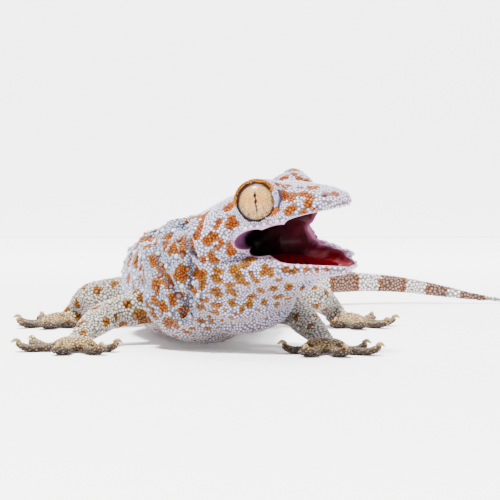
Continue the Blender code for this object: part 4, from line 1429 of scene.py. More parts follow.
@dataclass
class Scales:
    """The coat: every scale a small closed dome that fills its cell between its neighbours.

    Args:
        sizes: half the distance between scales in each region.
        doming: how high a scale stands, as a share of its half width.
        groove: how much of its cell a scale's foot fills.
        turns: how many corners a scale has.
        rounds: how often the scales push one another apart.
        painted_shade_and_highlight: how light a scale's colour is from its foot to its top, as painted shade in the
            groove at its foot and a painted highlight on its top.
        darts: how many darts are thrown on each square millimetre.
        spread_of_sizes: the least and the greatest share of its region's size that a scale has.
        apart: how near two scales may land, as a share of their half widths.
        wide: the half width from which a standing scale keeps the others off its foot.
        cell: the side of the cells in which the landed scales are kept.
        spots: how wide a scale is on the rolled-out skin.
    """

    sizes: dict[Region, float] = field(default_factory=lambda: {
        Region.HEAD: 0.32, Region.JAW: 0.30, Region.TRUNK: 0.37, Region.TAIL: 0.46, Region.LIMB: 0.36,
        Region.HAND: 0.34})
    doming: float = 0.6
    groove: float = 0.97
    turns: int = 7
    rounds: int = 4
    painted_shade_and_highlight: Row = (0.08, 0.42, 1.02, 1.25)
    darts: float = 10.0
    spread_of_sizes: tuple[float, float] = (0.84, 1.18)
    apart: float = 0.86
    wide: float = 0.7
    cell: float = 1.3
    spots: float = 0.0015

    def scatter(self, skin: bpy.types.Object, bare: np.ndarray, region: np.ndarray, fineness: np.ndarray,
                fixed: np.ndarray, fixed_sizes: np.ndarray) -> tuple[np.ndarray, np.ndarray]:
        """Sets out the scales' roots by throwing darts that may not land too near one another.

        Args:
            skin: the skin.
            bare: for each of its points, whether scales stay away.
            region: the region of each point.
            fineness: how small scales are at each point, as a share of their common size.
            fixed: roots that stand already, such as the tubercles'.
            fixed_sizes: their half widths.

        Returns:
            The roots and their half widths, the fixed ones first.
        """
        rng = np.random.default_rng(SEED)
        points = points_of(skin)
        skin.data.calc_loop_triangles()
        corners = np.empty(len(skin.data.loop_triangles) * 3, np.int64)
        skin.data.loop_triangles.foreach_get("vertices", corners)
        corners = corners.reshape(-1, 3)
        corners = corners[~bare[corners].any(1)]
        a, b, c = points[corners[:, 0]], points[corners[:, 1]], points[corners[:, 2]]
        area = np.linalg.norm(np.cross(b - a, c - a), axis=1) / 2
        weight = area / fineness[corners[:, 0]] ** 2
        count = int(weight.sum() * self.darts)
        picked = rng.choice(len(area), count, p=weight / weight.sum())
        u, v = rng.uniform(size=(2, count, 1))
        over = u + v > 1
        u, v = np.where(over, 1 - u, u), np.where(over, 1 - v, v)
        darts = a[picked] + u * (b - a)[picked] + v * (c - a)[picked]
        widths = np.array([self.sizes[r] for r in Region])[region[corners[picked, 0]]]
        widths = widths * (1 + 0.12 * ripple(darts, 7.0, 8)) * rng.uniform(*self.spread_of_sizes, count)
        widths = widths * fineness[corners[picked, 0]]
        kept: dict[tuple[int, int, int], list[tuple[float, float, float, float]]] = {}
        for (x, y, z), half in zip(fixed.tolist(), fixed_sizes.tolist()):
            kept.setdefault(self.cell_of(x, y, z), []).append((x, y, z, half))
        roots, halves = fixed.tolist(), fixed_sizes.tolist()
        wide = fixed_sizes > self.wide
        crowd, crowd_sizes = finder(fixed[wide]), fixed_sizes[wide].tolist()
        for (x, y, z), half in zip(darts.tolist(), widths.tolist()):
            i, j, k = self.cell_of(x, y, z)
            clash = False
            for key in ((i + p, j + q, k + r) for p, q, r in AROUND):
                for px, py, pz, other in kept.get(key, ()):
                    least = self.apart * (half + other)
                    if (px - x) ** 2 + (py - y) ** 2 + (pz - z) ** 2 < least * least:
                        clash = True
                        break
                if clash:
                    break
            if clash:
                continue
            _, near, gap = crowd.find((x, y, z))
            if gap < crowd_sizes[near] + 0.8 * half:
                continue
            kept.setdefault((i, j, k), []).append((x, y, z, half))
            roots.append((x, y, z))
            halves.append(half)
        return np.array(roots), np.array(halves)

    def cell_of(self, x: float, y: float, z: float) -> tuple[int, int, int]:
        """The cell in which a landed scale is kept."""
        return int(x // self.cell), int(y // self.cell), int(z // self.cell)

    def neighbours(self, roots: np.ndarray, count: int) -> np.ndarray:
        """The numbers of each root's nearest other roots, one row to a root."""
        tree = finder(roots)
        return np.array([[j for _, j, _ in tree.find_n(root, count + 1)][1:] for root in roots.tolist()])

    def spread(self, roots: np.ndarray, halves: np.ndarray, still: int,
               surface: BVHTree) -> tuple[np.ndarray, np.ndarray]:
        """Lets the scales push one another apart over the skin until they lie evenly.

        Args:
            roots: the roots.
            halves: their half widths.
            still: how many at the start stay where they are.
            surface: the skin.

        Returns:
            The roots and the way the skin faces there.
        """
        near = self.neighbours(roots, 8)
        normals = np.zeros_like(roots)
        for _ in range(self.rounds):
            gap = roots[:, None] - roots[near]
            far = np.linalg.norm(gap, axis=2) + 1e-6
            least = 1.08 * (halves[:, None] + halves[near])
            push = (gap / far[..., None] * np.clip(least - far, 0, 0.4)[..., None]).sum(1) * 0.22
            push[:still] = 0
            moved = roots + push
            for i, root in enumerate(moved.tolist()):
                moved[i], normals[i] = surface.find_nearest(root)[:2]
            moved[:still] = roots[:still]
            roots = moved
        return roots, normals

    def domes(self, roots: np.ndarray, normals: np.ndarray, halves: np.ndarray, rise: np.ndarray,
              keel: np.ndarray) -> tuple[np.ndarray, np.ndarray]:
        """The scales' points.

        Args:
            roots: the roots.
            normals: the way each faces.
            halves: their half widths.
            rise: how high each stands.
            keel: how pointed each one's top is, from 0 to 1.

        Returns:
            The points, one row of them to a scale, and how far each lies from the root across the skin.
        """
        near = self.neighbours(roots, 10)
        side = np.cross(normals, (0.31, 0.12, 0.94))
        side /= np.linalg.norm(side, axis=1)[:, None]
        other = np.cross(normals, side)
        rng = np.random.default_rng(SEED + 1)
        first = rng.uniform(0, 2 * math.pi, len(roots))
        turn = first[:, None] + 2 * math.pi * np.arange(self.turns) / self.turns
        gap = roots[near] - roots[:, None]
        flat = np.stack(((gap * side[:, None]).sum(2), (gap * other[:, None]).sum(2)), axis=2)
        far = np.linalg.norm(flat, axis=2) + 1e-6
        wall = np.clip((far**2 + halves[:, None] ** 2 - halves[near] ** 2) / (2 * far), 0.25 * halves[:, None], None)
        facing = (np.cos(turn)[:, :, None] * (flat[..., 0] / far)[:, None]
                  + np.sin(turn)[:, :, None] * (flat[..., 1] / far)[:, None])
        reach = np.where(facing > 0.2, wall[:, None] / np.maximum(facing, 0.2), np.inf).min(2)
        reach = np.minimum(reach, 1.35 * halves[:, None]) * self.groove
        reach = 0.75 * reach + 0.25 * np.minimum(reach, reach.mean(1)[:, None])
        way = np.cos(turn)[..., None] * side[:, None] + np.sin(turn)[..., None] * other[:, None]
        foot, shoulder, crown = 1.0, 0.93, 0.55
        rows, local = [], []
        for share, height in ((foot, -0.28 * rise - 0.05), (shoulder, 0.45 * rise), (crown, rise * (0.9 - 0.3 * keel))):
            rows.append(roots[:, None] + way * (reach * share)[..., None] + normals[:, None] * height[:, None, None])
            local.append(np.stack((np.cos(turn) * share, np.sin(turn) * share), axis=2))
        rows.append((roots + normals * (rise * (1 + 0.25 * keel))[:, None])[:, None])
        local.append(np.zeros((len(roots), 1, 2)))
        return np.concatenate(rows, axis=1), np.concatenate(local, axis=1)

    def mesh(self, name: str, rows: np.ndarray, local: np.ndarray, colours: np.ndarray,
             place: np.ndarray) -> bpy.types.Object:
        """One piece of the coat.

        Args:
            name: the piece's name.
            rows: its scales' points.
            local: how far each lies from the root, from -1 to 1.
            colours: each scale's colour.
            place: each root's place on the rolled-out skin.

        Returns:
            The object.
        """
        turns, count, each = self.turns, len(rows), rows.shape[1]
        j = np.arange(turns)
        after = (j + 1) % turns
        quads = np.vstack([np.column_stack((r * turns + j, r * turns + after, (r + 1) * turns + after,
                                            (r + 1) * turns + j)) for r in (0, 1)])
        fan = np.column_stack((2 * turns + j, 2 * turns + after, np.full(turns, 3 * turns)))
        loops = np.concatenate((quads.ravel(), fan.ravel(), j[::-1]))
        lengths = np.concatenate((np.full(2 * turns, 4), np.full(turns, 3), [turns]))
        starts = np.concatenate(([0], np.cumsum(lengths)[:-1]))
        all_loops = (loops[None] + each * np.arange(count)[:, None]).ravel()
        all_starts = (starts[None] + len(loops) * np.arange(count)[:, None]).ravel()
        mesh = bpy.data.meshes.new(name)
        mesh.vertices.add(count * each)
        mesh.vertices.foreach_set("co", (rows.reshape(-1, 3) * MM).ravel())
        mesh.loops.add(len(all_loops))
        mesh.loops.foreach_set("vertex_index", all_loops.astype(np.int32))
        mesh.polygons.add(len(all_starts))
        mesh.polygons.foreach_set("loop_start", all_starts.astype(np.int32))
        mesh.update(calc_edges=True)
        obj = bpy.data.objects.new(name, mesh)
        bpy.context.scene.collection.objects.link(obj)
        layer = mesh.uv_layers.new(name="OFBake")
        spot = (place[:, None] + local * self.spots).reshape(-1, 2)[all_loops]
        layer.data.foreach_set("uv", np.clip(spot, 0, 1).astype(np.float32).ravel())
        # Painted shade darkens each scale's foot and a painted highlight lightens its top.
        shade = np.repeat(self.painted_shade_and_highlight, (turns, turns, turns, 1))
        tinted(obj, np.clip(colours[:, None] * shade[None, :, None], 0, 1).reshape(-1, 3))
        return obj


@dataclass
class Coat:
    """The scales of the whole animal, with its tubercles and lip shields among them.

    Args:
        head: the head's form.
        atlas: the regions and the rolled-out skin.
        markings: the colours.
        scales: how the scales are made.
        tubercles: rows of large round scales: from, to, spacing, then each row's turn from the top.
        tubercle_width: half a tubercle's width.
        tubercle_rise: how high it stands.
        knobs: each region's least distance between knobs and half a knob's width.
        lip_step: the distance between the shields along the lips.
        lip_width: half a shield's width.
        lip_inset: how far from the mouth's lining the shields stand.
        lip_colour: the shields' colour.
        lip_thickness: how high a shield stands.
        lip_rise: how much of its height a scale keeps at the mouth's edge.
        lip_reach: how fast scales grow to their full height away from it.
        eye_reach: within what distance of an eye scales are smallest, and over what distance they grow.
        eye_fineness: how small they are there.
        most: how many triangles a piece may hold.
        pieces: each piece's name, its regions and a slot name for its material, which is not used.
    """

    head: Head
    atlas: Atlas
    markings: Markings
    scales: Scales = field(default_factory=Scales)
    tubercles: Rows = ((-18.0, 62.0, 6.8, -66, -44, -22, 0, 22, 44, 66), (67.0, 126.0, 7.2, -48, -16, 16, 48))
    tubercle_width: float = 1.2
    tubercle_rise: float = 1.05
    knobs: dict[Region, tuple[float, float]] = field(default_factory=lambda: {
        Region.TRUNK: (3.1, 0.66), Region.LIMB: (2.6, 0.5)})
    lip_step: float = 1.25
    lip_width: float = 0.58
    lip_inset: float = 0.9
    lip_colour: Row = (214, 196, 220)
    lip_thickness: float = 0.13
    lip_rise: float = 0.45
    lip_reach: float = 5.5
    eye_reach: Row = (5.8, 5.0)
    eye_fineness: float = 0.55
    most: int = 190000
    pieces: tuple[tuple[str, tuple[Region, ...], str], ...] = (
        ("scales_head", (Region.HEAD,), "spotted_skin"), ("scales_jaw", (Region.JAW,), "throat_skin"),
        ("scales_trunk", (Region.TRUNK,), "spotted_skin"), ("scales_tail", (Region.TAIL,), "tail_skin"),
        ("scales_limbs", (Region.LIMB, Region.HAND), "limb_skin"))

    def tubercle_roots(self, surface: BVHTree) -> list[tuple[np.ndarray, float]]:
        """The rows of large round scales along the back and tail, where the solids carry theirs.

        Args:
            surface: the skin.

        Returns:
            Each one's root and half width.
        """
        rng = np.random.default_rng(7)
        rows = spline(SPINE.keys, 20)
        steps = np.gradient(rows[:, :3], axis=0)
        found = []
        for start, stop, spacing, *turns in self.tubercles:
            for y in np.arange(start, stop, spacing):
                for i, turn in enumerate(turns):
                    along = y + spacing / 2 * (i % 2) + rng.uniform(-1, 1) * 0.7
                    at = int(np.argmin(np.abs(rows[:, 1] - along)))
                    angle = math.radians(turn + rng.uniform(-1, 1) * 4.0)
                    forward = steps[at] / np.linalg.norm(steps[at])
                    side = np.cross(forward, (0, 0, 1))
                    side /= np.linalg.norm(side)
                    out = math.sin(angle) * side + math.cos(angle) * np.cross(side, forward)
                    size = rng.uniform(0.85, 1.1) * min(1.0, 0.35 + rows[at, 3] / 14)
                    hit = surface.ray_cast(Vector(rows[at, :3] + 60 * out), Vector(-out))[0]
                    if hit is not None:
                        found.append((np.array(hit), self.tubercle_width * size))
        return found

    def lip_roots(self, skin: bpy.types.Object, region: np.ndarray,
                  from_mouth: np.ndarray) -> list[tuple[np.ndarray, float]]:
        """The shields along the upper and the lower lip.

        Args:
            skin: the skin.
            region: the region of each of its points.
            from_mouth: how far each lies from the mouth's lining.

        Returns:
            Each one's root and half width.
        """
        points = points_of(skin)
        ahead = placed(points, self.head.frame().inverted())[:, 0]
        upward = np.abs(normals_of(skin) @ np.array(self.head.frame())[:3, 2])
        lip = np.nonzero((np.abs(from_mouth - self.lip_inset) < 0.2) & (ahead > 18) & (upward < 0.8)
                         & (region <= Region.JAW.value))[0]
        found: list[tuple[np.ndarray, float]] = []
        for i in lip[np.argsort(ahead[lip])]:
            if all(np.linalg.norm(points[i] - root) >= self.lip_step for root, _ in found):
                found.append((points[i], self.lip_width))
        return found

    def knob_roots(self, skin: bpy.types.Object, region: np.ndarray,
                   taken: list[tuple[np.ndarray, float]]) -> list[tuple[np.ndarray, float]]:
        """The smaller knobs that stand among the scales of the neck, the trunk and the limbs.

        Args:
            skin: the skin.
            region: the region of each of its points.
            taken: the tubercles that stand already.

        Returns:
            Each one's root and half width.
        """
        points, normals = points_of(skin), normals_of(skin)
        looks = self.markings.looks(points, region)
        rng = np.random.default_rng(SEED + 3)
        cell = max(gap for gap, _ in self.knobs.values())
        kept: dict[tuple[int, ...], list[np.ndarray]] = {}
        for root, _ in taken:
            kept.setdefault(tuple((root // cell).astype(int)), []).append(root)
        found: list[tuple[np.ndarray, float]] = []
        for i in rng.permutation(np.nonzero(normals[:, 2] > -0.35)[0]):
            gap, half = self.knobs.get(Region(looks[i]), (0.0, 0.0))
            if half == 0:
                continue
            point = points[i]
            x, y, z = (point // cell).astype(int).tolist()
            around = [other for p, q, r in AROUND for other in kept.get((x + p, y + q, z + r), ())]
            if around and np.min(np.linalg.norm(np.array(around) - point, axis=1)) < gap:
                continue
            kept.setdefault((x, y, z), []).append(point)
            found.append((point, half * rng.uniform(0.85, 1.15)))
        return found

    def fineness(self, points: np.ndarray) -> np.ndarray:
        """How small the scales are near the eyes.

        Args:
            points: points of the skin.

        Returns:
            One share to a point.
        """
        share = np.ones(len(points))
        for side in (-1, 1):
            middle = placed(np.array([self.head.on_side(self.head.eye, side)]), self.head.frame())[0]
            away = np.linalg.norm(points - middle, axis=1)
            small, (near, over) = self.eye_fineness, self.eye_reach
            share = np.minimum(share, np.clip(small + (away - near) / over, small, 1))
        return share

    def build(self, skin: bpy.types.Object, bare: np.ndarray, region: np.ndarray,
              from_mouth: np.ndarray) -> list[bpy.types.Object]:
        """Makes the coat's pieces.

        Args:
            skin: the skin.
            bare: for each of its points, whether scales stay away.
            region: the region of each point.
            from_mouth: how far each point lies from the mouth's lining.

        Returns:
            The pieces.
        """
        surface = tree_of([skin])
        bumps = self.tubercle_roots(surface)
        bumps += self.knob_roots(skin, region, bumps)
        shields = self.lip_roots(skin, region, from_mouth)
        fixed = np.array([root for root, _ in bumps + shields])
        sizes = np.array([half for _, half in bumps + shields])
        fine = self.fineness(points_of(skin))
        roots, halves = self.scales.scatter(skin, bare, region, fine, fixed, sizes)
        rim = finder(points_of(skin)[from_mouth < 0.1])
        log.info("%d scales, %d tubercles, %d lip shields", len(roots), len(bumps), len(shields))
        spread, ways = self.scales.spread(roots, halves, len(fixed), surface)
        kind, place = self.atlas.read(spread)
        colours = self.markings.at(spread, ways, kind)
        rng = np.random.default_rng(SEED + 2)
        colours = colours * rng.uniform(0.9, 1.1, (len(colours), 1))
        rise = halves * self.scales.doming
        keel = np.zeros(len(spread))
        count = len(bumps)
        rise[:count] = self.tubercle_rise * halves[:count] / self.tubercle_width
        keel[:count] = 1.0
        shield = slice(count, count + len(shields))
        rise[shield] = self.lip_thickness
        near_lip = np.array([rim.find(root)[2] for root in spread.tolist()])
        rise *= np.clip(self.lip_rise + near_lip / self.lip_reach, self.lip_rise, 1)
        pale = self.markings.raised(spread[:count])
        own = np.where(colours[:count, 2:] < 0.2, 0.97, 0.75)
        colours[:count] = own * colours[:count] + (1 - own) * pale
        colours[shield] = blended(colours[shield], self.lip_colour, np.full(len(shields), 0.4))
        rows, local = self.scales.domes(spread, ways, halves, rise, keel)
        each = 6 * self.scales.turns - 2
        pieces = []
        for name, regions, slot in self.pieces:
            mine = np.nonzero(np.isin(kind, [r.value for r in regions]))[0]
            mine = mine[np.argsort(spread[mine, 1], kind="stable")]
            parts = max(1, math.ceil(len(mine) * each / self.most))
            for i, part in enumerate(np.array_split(mine, parts)):
                piece = self.scales.mesh(f"{name}_{i + 1}", rows[part], local[part], colours[part], place[part])
                pieces.append(dressed(piece, SCALE_FINISH))
        return pieces


@dataclass
class Eyes:
    """Both eyeballs: a pale speckled iris with a nearly closed, beaded upright slit, under a clear film.

    Args:
        head: the head's form.
        rings: how many rings from the front of the ball to its back.
        sides: how many points to a ring.
        slit: half the pupil's height and its half width between the beads.
        beads: how high the round openings along the slit stand, with each one's half width.
        edge: the radius at which the iris ends.
        cream, rust, speckle, tinge: the iris's colours.
        slit_edge, black, rim: the colours round the slit, in it and round the iris.
    """

    head: Head
    rings: int = 110
    sides: int = 160
    slit: Row = (2.5, 0.13)
    beads: Rows = ((-1.9, 0.22), (-0.9, 0.24), (0.1, 0.36), (1.5, 0.36))
    edge: float = 3.85
    cream: Row = (200, 162, 94)
    rust: Row = (158, 92, 36)
    speckle: Row = (30, 16, 8)
    tinge: Row = (190, 96, 36)
    slit_edge: Row = (120, 84, 60)
    black: Row = (12, 8, 8)
    rim: Row = (40, 26, 26)

    def build(self) -> list[bpy.types.Object]:
        """Makes both eyes.

        Returns:
            The pieces.
        """
        made = []
        for side, name in ((-1, "right"), (1, "left")):
            frame = self.head.eye_frame(side)
            angle = math.pi * (np.arange(1, self.rings) / self.rings) ** 1.25
            turn = 2 * math.pi * np.arange(self.sides) / self.sides
            ring = np.stack((np.sin(angle)[:, None] * np.cos(turn), np.sin(angle)[:, None] * np.sin(turn),
                             np.cos(angle)[:, None] * np.ones(self.sides)), axis=2)
            local = [row * self.head.eye_radii for row in ring]
            ball = loft(f"eyeball_{name}", [placed(row, frame) for row in local])
            flat = np.vstack((*local, local[0].mean(0)[None], local[-1].mean(0)[None]))
            upright = np.array(frame.to_3x3().inverted() @ (self.head.frame().to_3x3() @ Vector((0, 0, 1))))
            upright[2] = 0
            upright /= np.linalg.norm(upright)
            across = np.cross(upright, (0, 0, 1))
            tinted(ball, self.colours(flat @ across, flat @ upright, flat[:, 2]))
            dressed(ball, EYE_FINISH)
            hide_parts(f"eye_{name}")
            made.append(ball)
        return made

    def colours(self, across: np.ndarray, height: np.ndarray, out: np.ndarray) -> np.ndarray:
        """The iris and pupil.

        Args:
            across: each point's distance sideways from the ball's axis.
            height: its distance up the slit.
            out: its distance along the axis.

        Returns:
            Colours in linear light.
        """
        flat = np.column_stack((across, height, np.zeros(len(across))))
        radius = np.hypot(across, height)
        vein = ripple(flat + 0.3 * ripple(flat, 0.9, 21)[:, None], 0.55, 22)
        blot = ripple(flat, 0.24, 23) + 0.5 * ripple(flat, 0.9, 24)
        colour = blended(linear(*self.cream), self.rust, np.clip(0.35 + 0.8 * vein, 0, 1) * 0.75)
        low = np.clip(0.25 - height / 4.5 + (radius - 2.4) / 3, 0, 1)
        speck = np.clip((blot - 0.55 + 0.5 * low) * 6, 0, 1)
        colour = blended(colour, self.speckle, speck * (0.5 + 0.45 * low))
        width = np.full(len(across), self.slit[1])
        for level, bead in self.beads:
            width = np.maximum(width, bead * np.clip(1 - ((height - level) / (1.3 * bead)) ** 2, 0, 1) ** 0.5)
        width = width * np.clip((self.slit[0] - np.abs(height + 0.05)) * 5, 0, 1)
        sway = 0.2 * height + 0.06 * np.sin(height * 3.1)
        gap = np.abs(across - sway) - width
        # Painted shade: the iris darkens towards its rim.
        colour = colour * (1 - 0.4 * np.clip((radius - 2.3) / 1.7, 0, 1) ** 1.5)[:, None]
        tinge = np.exp(-(((np.abs(across) - 1.3) / 0.7) ** 2) - ((height - 0.3) / 1.6) ** 2)
        colour = blended(colour, self.tinge, 0.4 * tinge)
        colour = blended(colour, self.slit_edge, np.clip(1 - gap / 0.16, 0, 1) * 0.6)
        colour = blended(colour, self.black, np.clip(0.5 - gap / 0.05, 0, 1))
        rim = np.clip((radius - self.edge) / 0.3, 0, 1)
        return blended(colour, self.rim, np.maximum(rim, np.clip(-out, 0, 1)))


@dataclass
class Mouth:
    """The wet lining of the mouth, and the tongue.

    Args:
        head: the head's form.
        lining, throat, floor, corner, film, lip: the lining's colours above, at the back as painted shade deep in the
            mouth,
        along the floor, in the near corner, as painted highlights on the wet floor, and at the lips.
        tongue: the tongue's colour.
    """

    head: Head
    lining: Row = (84, 26, 38)
    throat: Row = (14, 4, 7)
    floor: Row = (170, 14, 28)
    corner: Row = (90, 50, 84)
    film: Row = (214, 150, 164)
    lip: Row = (176, 104, 134)
    tongue: Row = (104, 12, 22)

    def build(self, skin: bpy.types.Object, lined: np.ndarray) -> np.ndarray:
        """Takes the lining off the skin as a piece of its own and makes the tongue.

        Args:
            skin: the skin, which keeps its other faces.
            lined: for each of its points, whether it lies in the mouth.

        Returns:
            Which of the skin's points it keeps.
        """
        points = points_of(skin)
        faces = [list(face.vertices) for face in skin.data.polygons]
        inside = [all(lined[i] for i in face) for face in faces]
        used = sorted({i for face, within in zip(faces, inside) if within for i in face})
        number = {old: new for new, old in enumerate(used)}
        lining = mesh_object("mouth_lining", points[used] * MM,
                             [[number[i] for i in face] for face, within in zip(faces, inside) if within])
        outer = {i for face, within in zip(faces, inside) if not within for i in face}
        tinted(lining, self.colours(points[used], points[[i for i in used if i in outer]]))
        work = bmesh.new()
        work.from_mesh(skin.data)
        work.faces.ensure_lookup_table()
        bmesh.ops.delete(work, geom=[work.faces[i] for i, within in enumerate(inside) if within], context="FACES")
        work.to_mesh(skin.data)
        work.free()
        tongue = Lengthwise("tongue_wet", self.head.tongue, self.head.jaw_frame(), 12, 2.3, 64).build()
        shape = points_of(tongue)
        ridge = 0.05 * ripple(shape, 1.1, 31) + 0.05 * ripple(shape, 0.6, 32)
        moved_to(tongue, shape + normals_of(tongue) * (ridge - 0.08)[:, None])
        tinted(tongue, np.clip(linear(*self.tongue) * (1 + 0.25 * ripple(shape, 2.0, 33)[:, None]), 0, 1))
        dressed(lining, WET_FINISH)
        dressed(tongue, TONGUE_FINISH)
        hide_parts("tongue")
        return np.unique([i for face, within in zip(faces, inside) if not within for i in face])

    def colours(self, points: np.ndarray, edge: np.ndarray) -> np.ndarray:
        """The lining's colours: pink at the lips, crimson along the floor, dusky above, black at the back as painted
        shade, with painted highlights on the wet floor.

        Args:
            points: the lining's points.
            edge: those where it meets the lips.

        Returns:
            Colours in linear light.
        """
        local = placed(points, self.head.frame().inverted())
        in_jaw = placed(points, self.head.jaw_frame().inverted())
        floor = np.clip((1.2 - in_jaw[:, 2]) / 1.6, 0, 1) * np.clip((in_jaw[:, 0] - 15) / 7, 0, 1)
        # Painted shade: the lining darkens to black towards the back of the mouth.
        deep = np.clip((32 - local[:, 0]) / 6, 0, 1) * np.clip((11.5 - local[:, 1]) / 4, 0, 1)
        corner = np.clip((-8.6 - local[:, 1]) / 1.5, 0, 1) * np.clip((20.5 - local[:, 0]) / 3, 0, 1)
        tree = finder(edge)
        lip = np.clip(1.25 - np.array([tree.find(point)[2] for point in points.tolist()]) / 0.9, 0, 1)
        colour = linear(*self.lining) * (1 + 0.2 * ripple(points, 2.4, 34)[:, None])
        # Painted highlights: pale streaks on the far side of the wet floor stand in for its glints.
        film = floor * np.clip(local[:, 1] / 3, 0, 1) * np.clip(4 * ripple(in_jaw * (0.5, 1, 1), 1.9, 35) - 1.2, 0, 1)
        for shade, share in ((self.throat, deep), (self.floor, floor), (self.corner, corner),
                             (self.film, 0.6 * film), (self.lip, 0.8 * lip)):
            colour = blended(colour, shade, share)
        return np.clip(colour, 0, 1)


@dataclass
class Skin:
    """The one skin that stands for the flesh, and how it is coloured.

    Args:
        markings: the colours.
        flesh: the solids it stands for.
        lip: how wide the bare lip is on the near side and on the far side.
        groove: how light the skin is between the scales, as a share of their colour: painted shade in the gaps between
            them.
        lip_colour: the bare lip's colour.
        wet_lip: its colour beside the mouth's lining.
        socket_colour: the colour inside a socket, ear or nostril.
    """

    markings: Markings
    flesh: tuple[str, ...] = (
        "head", "lower_jaw", "neck", "torso_front", "torso_middle", "torso_rear", "tail_1", "tail_2", "tail_3",
        "tail_4", "upper_arm_right", "upper_arm_left", "forearm_right", "forearm_left", "hand_right", "hand_left",
        "thigh_right", "thigh_left", "shin_right", "shin_left", "foot_right", "foot_left")
    lip: Row = (0.4, 2.0)
    groove: float = 0.22
    lip_colour: Row = (196, 178, 208)
    wet_lip: Row = (176, 112, 150)
    socket_colour: Row = (58, 34, 34)

    def bare_lip(self, points: np.ndarray, frame: Matrix) -> np.ndarray:
        """How wide the bare lip is beside each point, by the head's frame."""
        share = np.clip(placed(points, frame.inverted())[:, 1] / 5, 0, 1)
        return self.lip[0] + (self.lip[1] - self.lip[0]) * share

    def dress(self, skin: bpy.types.Object, region: np.ndarray, place: np.ndarray, socket: np.ndarray,
              from_mouth: np.ndarray) -> None:
        """Colours the skin and ties it to the solids.

        Args:
            skin: the skin.
            region: the region of each point.
            place: each point's place on the rolled-out skin.
            socket: for each point, whether it lines an eye socket, ear or nostril.
            from_mouth: how far each point lies from the mouth's lining.
        """
        points, normals = points_of(skin), normals_of(skin)
        colour = self.markings.at(points, normals, region)
        width = self.bare_lip(points, self.markings.head.frame())
        lip = np.clip((width - from_mouth) / 0.3 + 0.5, 0, 1)[:, None]
        wet = np.clip((0.45 * width - from_mouth) / 0.3 + 0.5, 0, 1)[:, None]
        colour = blended(blended(colour, self.lip_colour, lip * 0.7), self.wet_lip, wet)
        # Painted shade: the skin between the scales is darkened, except at the bare lip and the bare strokes.
        colour = colour * np.where(self.markings.bare(points, region)[:, None] | (lip > 0), 1.0, self.groove)
        colour[socket] = linear(*self.socket_colour)
        tinted(skin, colour)
        layer = skin.data.uv_layers.new(name="OFBake")
        loops = np.empty(len(skin.data.loops), np.int32)
        skin.data.loops.foreach_get("vertex_index", loops)
        layer.data.foreach_set("uv", place[loops].astype(np.float32).ravel())
        dressed(skin, SKIN_FINISH)
        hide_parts(*self.flesh)


@dataclass
class Claws:
    """The claw over each toe's tip.

    Args:
        horn: the claws' colour.
    """

    horn: Row = (138, 114, 78)

    def build(self) -> bpy.types.Object:
        """Makes all twenty as one piece.

        Returns:
            The piece.
        """
        piece = joined("claws", [claw for foot in FEET for claw in foot.claws()])
        points = points_of(piece)
        tinted(piece, np.clip(linear(*self.horn) * (1 + 0.1 * ripple(points, 1.5, 41)[:, None]), 0, 1))
        return dressed(piece, CLAW_FINISH)


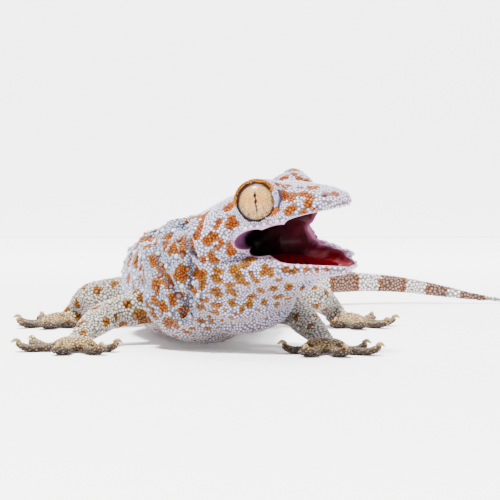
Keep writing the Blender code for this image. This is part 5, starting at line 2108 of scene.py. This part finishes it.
@dataclass
class Stage:
    """A pale floor and soft studio light.

    Args:
        camera: the photo's camera.
        lamps: each lamp's place, its width, its power and its colour.
        paper: the floor's colour.
        sky: how bright the surroundings are.
        painted_floor_light: how much painted light the floor gives off, though it is no lamp, under the animal and far
            from it.
        painted_shadow_pool: how far from the animal the painted shadow of weaker light reaches, and where the full
            light begins.
        front, side, back: how far the floor reaches ahead, to each side and behind.
        height: how high the backdrop stands.
        bend: the radius of the bend between them.
        aim: where the lamps point.
    """

    camera: Camera
    lamps: tuple[tuple[Row, float, float, Row], ...] = (
        ((-170.0, -230.0, 740.0), 180.0, 24.0, (1.0, 0.98, 0.96)),
        ((520.0, -420.0, 420.0), 420.0, 2.5, (0.97, 0.98, 1.0)),
        ((60.0, 260.0, 700.0), 500.0, 10.0, (1.0, 1.0, 1.0)),
    )
    paper: Row = (252, 251, 251)
    sky: float = 0.08
    painted_floor_light: Row = (0.15, 2.6)
    painted_shadow_pool: Row = (90.0, 520.0)
    front: float = -1300.0
    side: float = 1600.0
    back: float = 1100.0
    height: float = 1500.0
    bend: float = 300.0
    aim: Row = (0.0, 10.0, 15.0)

    def build(self) -> None:
        """Sets up the floor, the backdrop, the lamps and the camera."""
        world = bpy.data.worlds.new("studio")
        world.use_nodes = True
        world.node_tree.nodes["Background"].inputs["Color"].default_value = (1, 1, 1, 1)
        world.node_tree.nodes["Background"].inputs["Strength"].default_value = self.sky
        bpy.context.scene.world = world
        bend, foot = self.bend, self.back - self.bend
        profile = [(y, 0.0) for y in np.linspace(self.front, foot, 61)]
        profile += [(foot + bend * math.sin(a), bend - bend * math.cos(a)) for a in np.linspace(0, math.pi / 2, 24)]
        profile.append((self.back, self.height))
        columns = np.linspace(-self.side, self.side, 81)
        points = np.array([(x, y, z) for x in columns for y, z in profile])
        count = len(profile)
        faces = [(j + i, j + i + 1, j + count + i + 1, j + count + i)
                 for j in range(0, (len(columns) - 1) * count, count) for i in range(count - 1)]
        floor = mesh_object("floor", points * MM, faces)
        # Painted light from the floor: weak near the animal as a painted soft shadow, full far off to whiten the
        # backdrop.
        share = np.clip((np.hypot(points[:, 0], points[:, 1]) - self.painted_shadow_pool[0]) / (self.painted_shadow_pool[1] - self.painted_shadow_pool[0]), 0, 1)
        painted_floor_light = floor.data.attributes.new("painted_floor_light", "FLOAT", "POINT")
        painted_floor_light.data.foreach_set("value", self.painted_floor_light[0] + (self.painted_floor_light[1] - self.painted_floor_light[0]) * share**2 * (3 - 2 * share))
        floor.data.shade_smooth()
        paper = bpy.data.materials.new("paper")
        paper.use_nodes = True
        shader = paper.node_tree.nodes["Principled BSDF"]
        shader.inputs["Base Color"].default_value = (*linear(*self.paper), 1)
        shader.inputs["Roughness"].default_value = 0.9
        shader.inputs["Emission Color"].default_value = (1, 1, 1, 1)
        strength = paper.node_tree.nodes.new("ShaderNodeAttribute")
        strength.attribute_name = "painted_floor_light"
        paper.node_tree.links.new(strength.outputs["Fac"], shader.inputs["Emission Strength"])
        floor.data.materials.append(paper)
        floor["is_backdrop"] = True
        for place, width, power, colour in self.lamps:
            lamp = bpy.data.lights.new("softbox", "AREA")
            lamp.shape, lamp.size, lamp.energy, lamp.color = "DISK", width * MM, power, colour
            obj = bpy.data.objects.new("softbox", lamp)
            obj.location = Vector(place) * MM
            way = Vector(self.aim) * MM - obj.location
            obj.rotation_euler = way.to_track_quat("-Z", "Y").to_euler()
            bpy.context.scene.collection.objects.link(obj)
        self.camera.build()


def corners() -> list[list[float]]:
    """The shown model's lowest and highest corners, as plain lists."""
    return [list(corner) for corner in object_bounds()]


def main() -> None:
    """Builds the gecko around the solids."""
    logging.basicConfig(level=logging.INFO, format="%(name)s: %(message)s")
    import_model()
    head, camera = Head(), Camera()
    skin, lined, from_mouth = Clay(head, camera).build()
    log.info("skin: %d points", len(skin.data.vertices))
    kept = Mouth(head).build(skin, lined == IN_MOUTH)
    lined, from_mouth = lined[kept], from_mouth[kept]
    points = points_of(skin)
    atlas = Atlas(head)
    region, place = atlas.read(points)
    markings = Markings(head, camera)
    markings.place(tree_of([skin]), points, region)
    log.info("spots: %d", len(markings.centres))
    dressing = Skin(markings)
    bare = (lined > 0) | markings.bare(points, region) | (from_mouth < dressing.bare_lip(points, head.frame()))
    pieces = Coat(head, atlas, markings).build(skin, bare, region, from_mouth)
    dressing.dress(skin, region, place, lined == IN_SOCKET, from_mouth)
    Eyes(head).build()
    Claws().build()
    Stage(camera).build()
    log.info("coat: %d pieces", len(pieces))


if __name__ == "__main__":
    main()
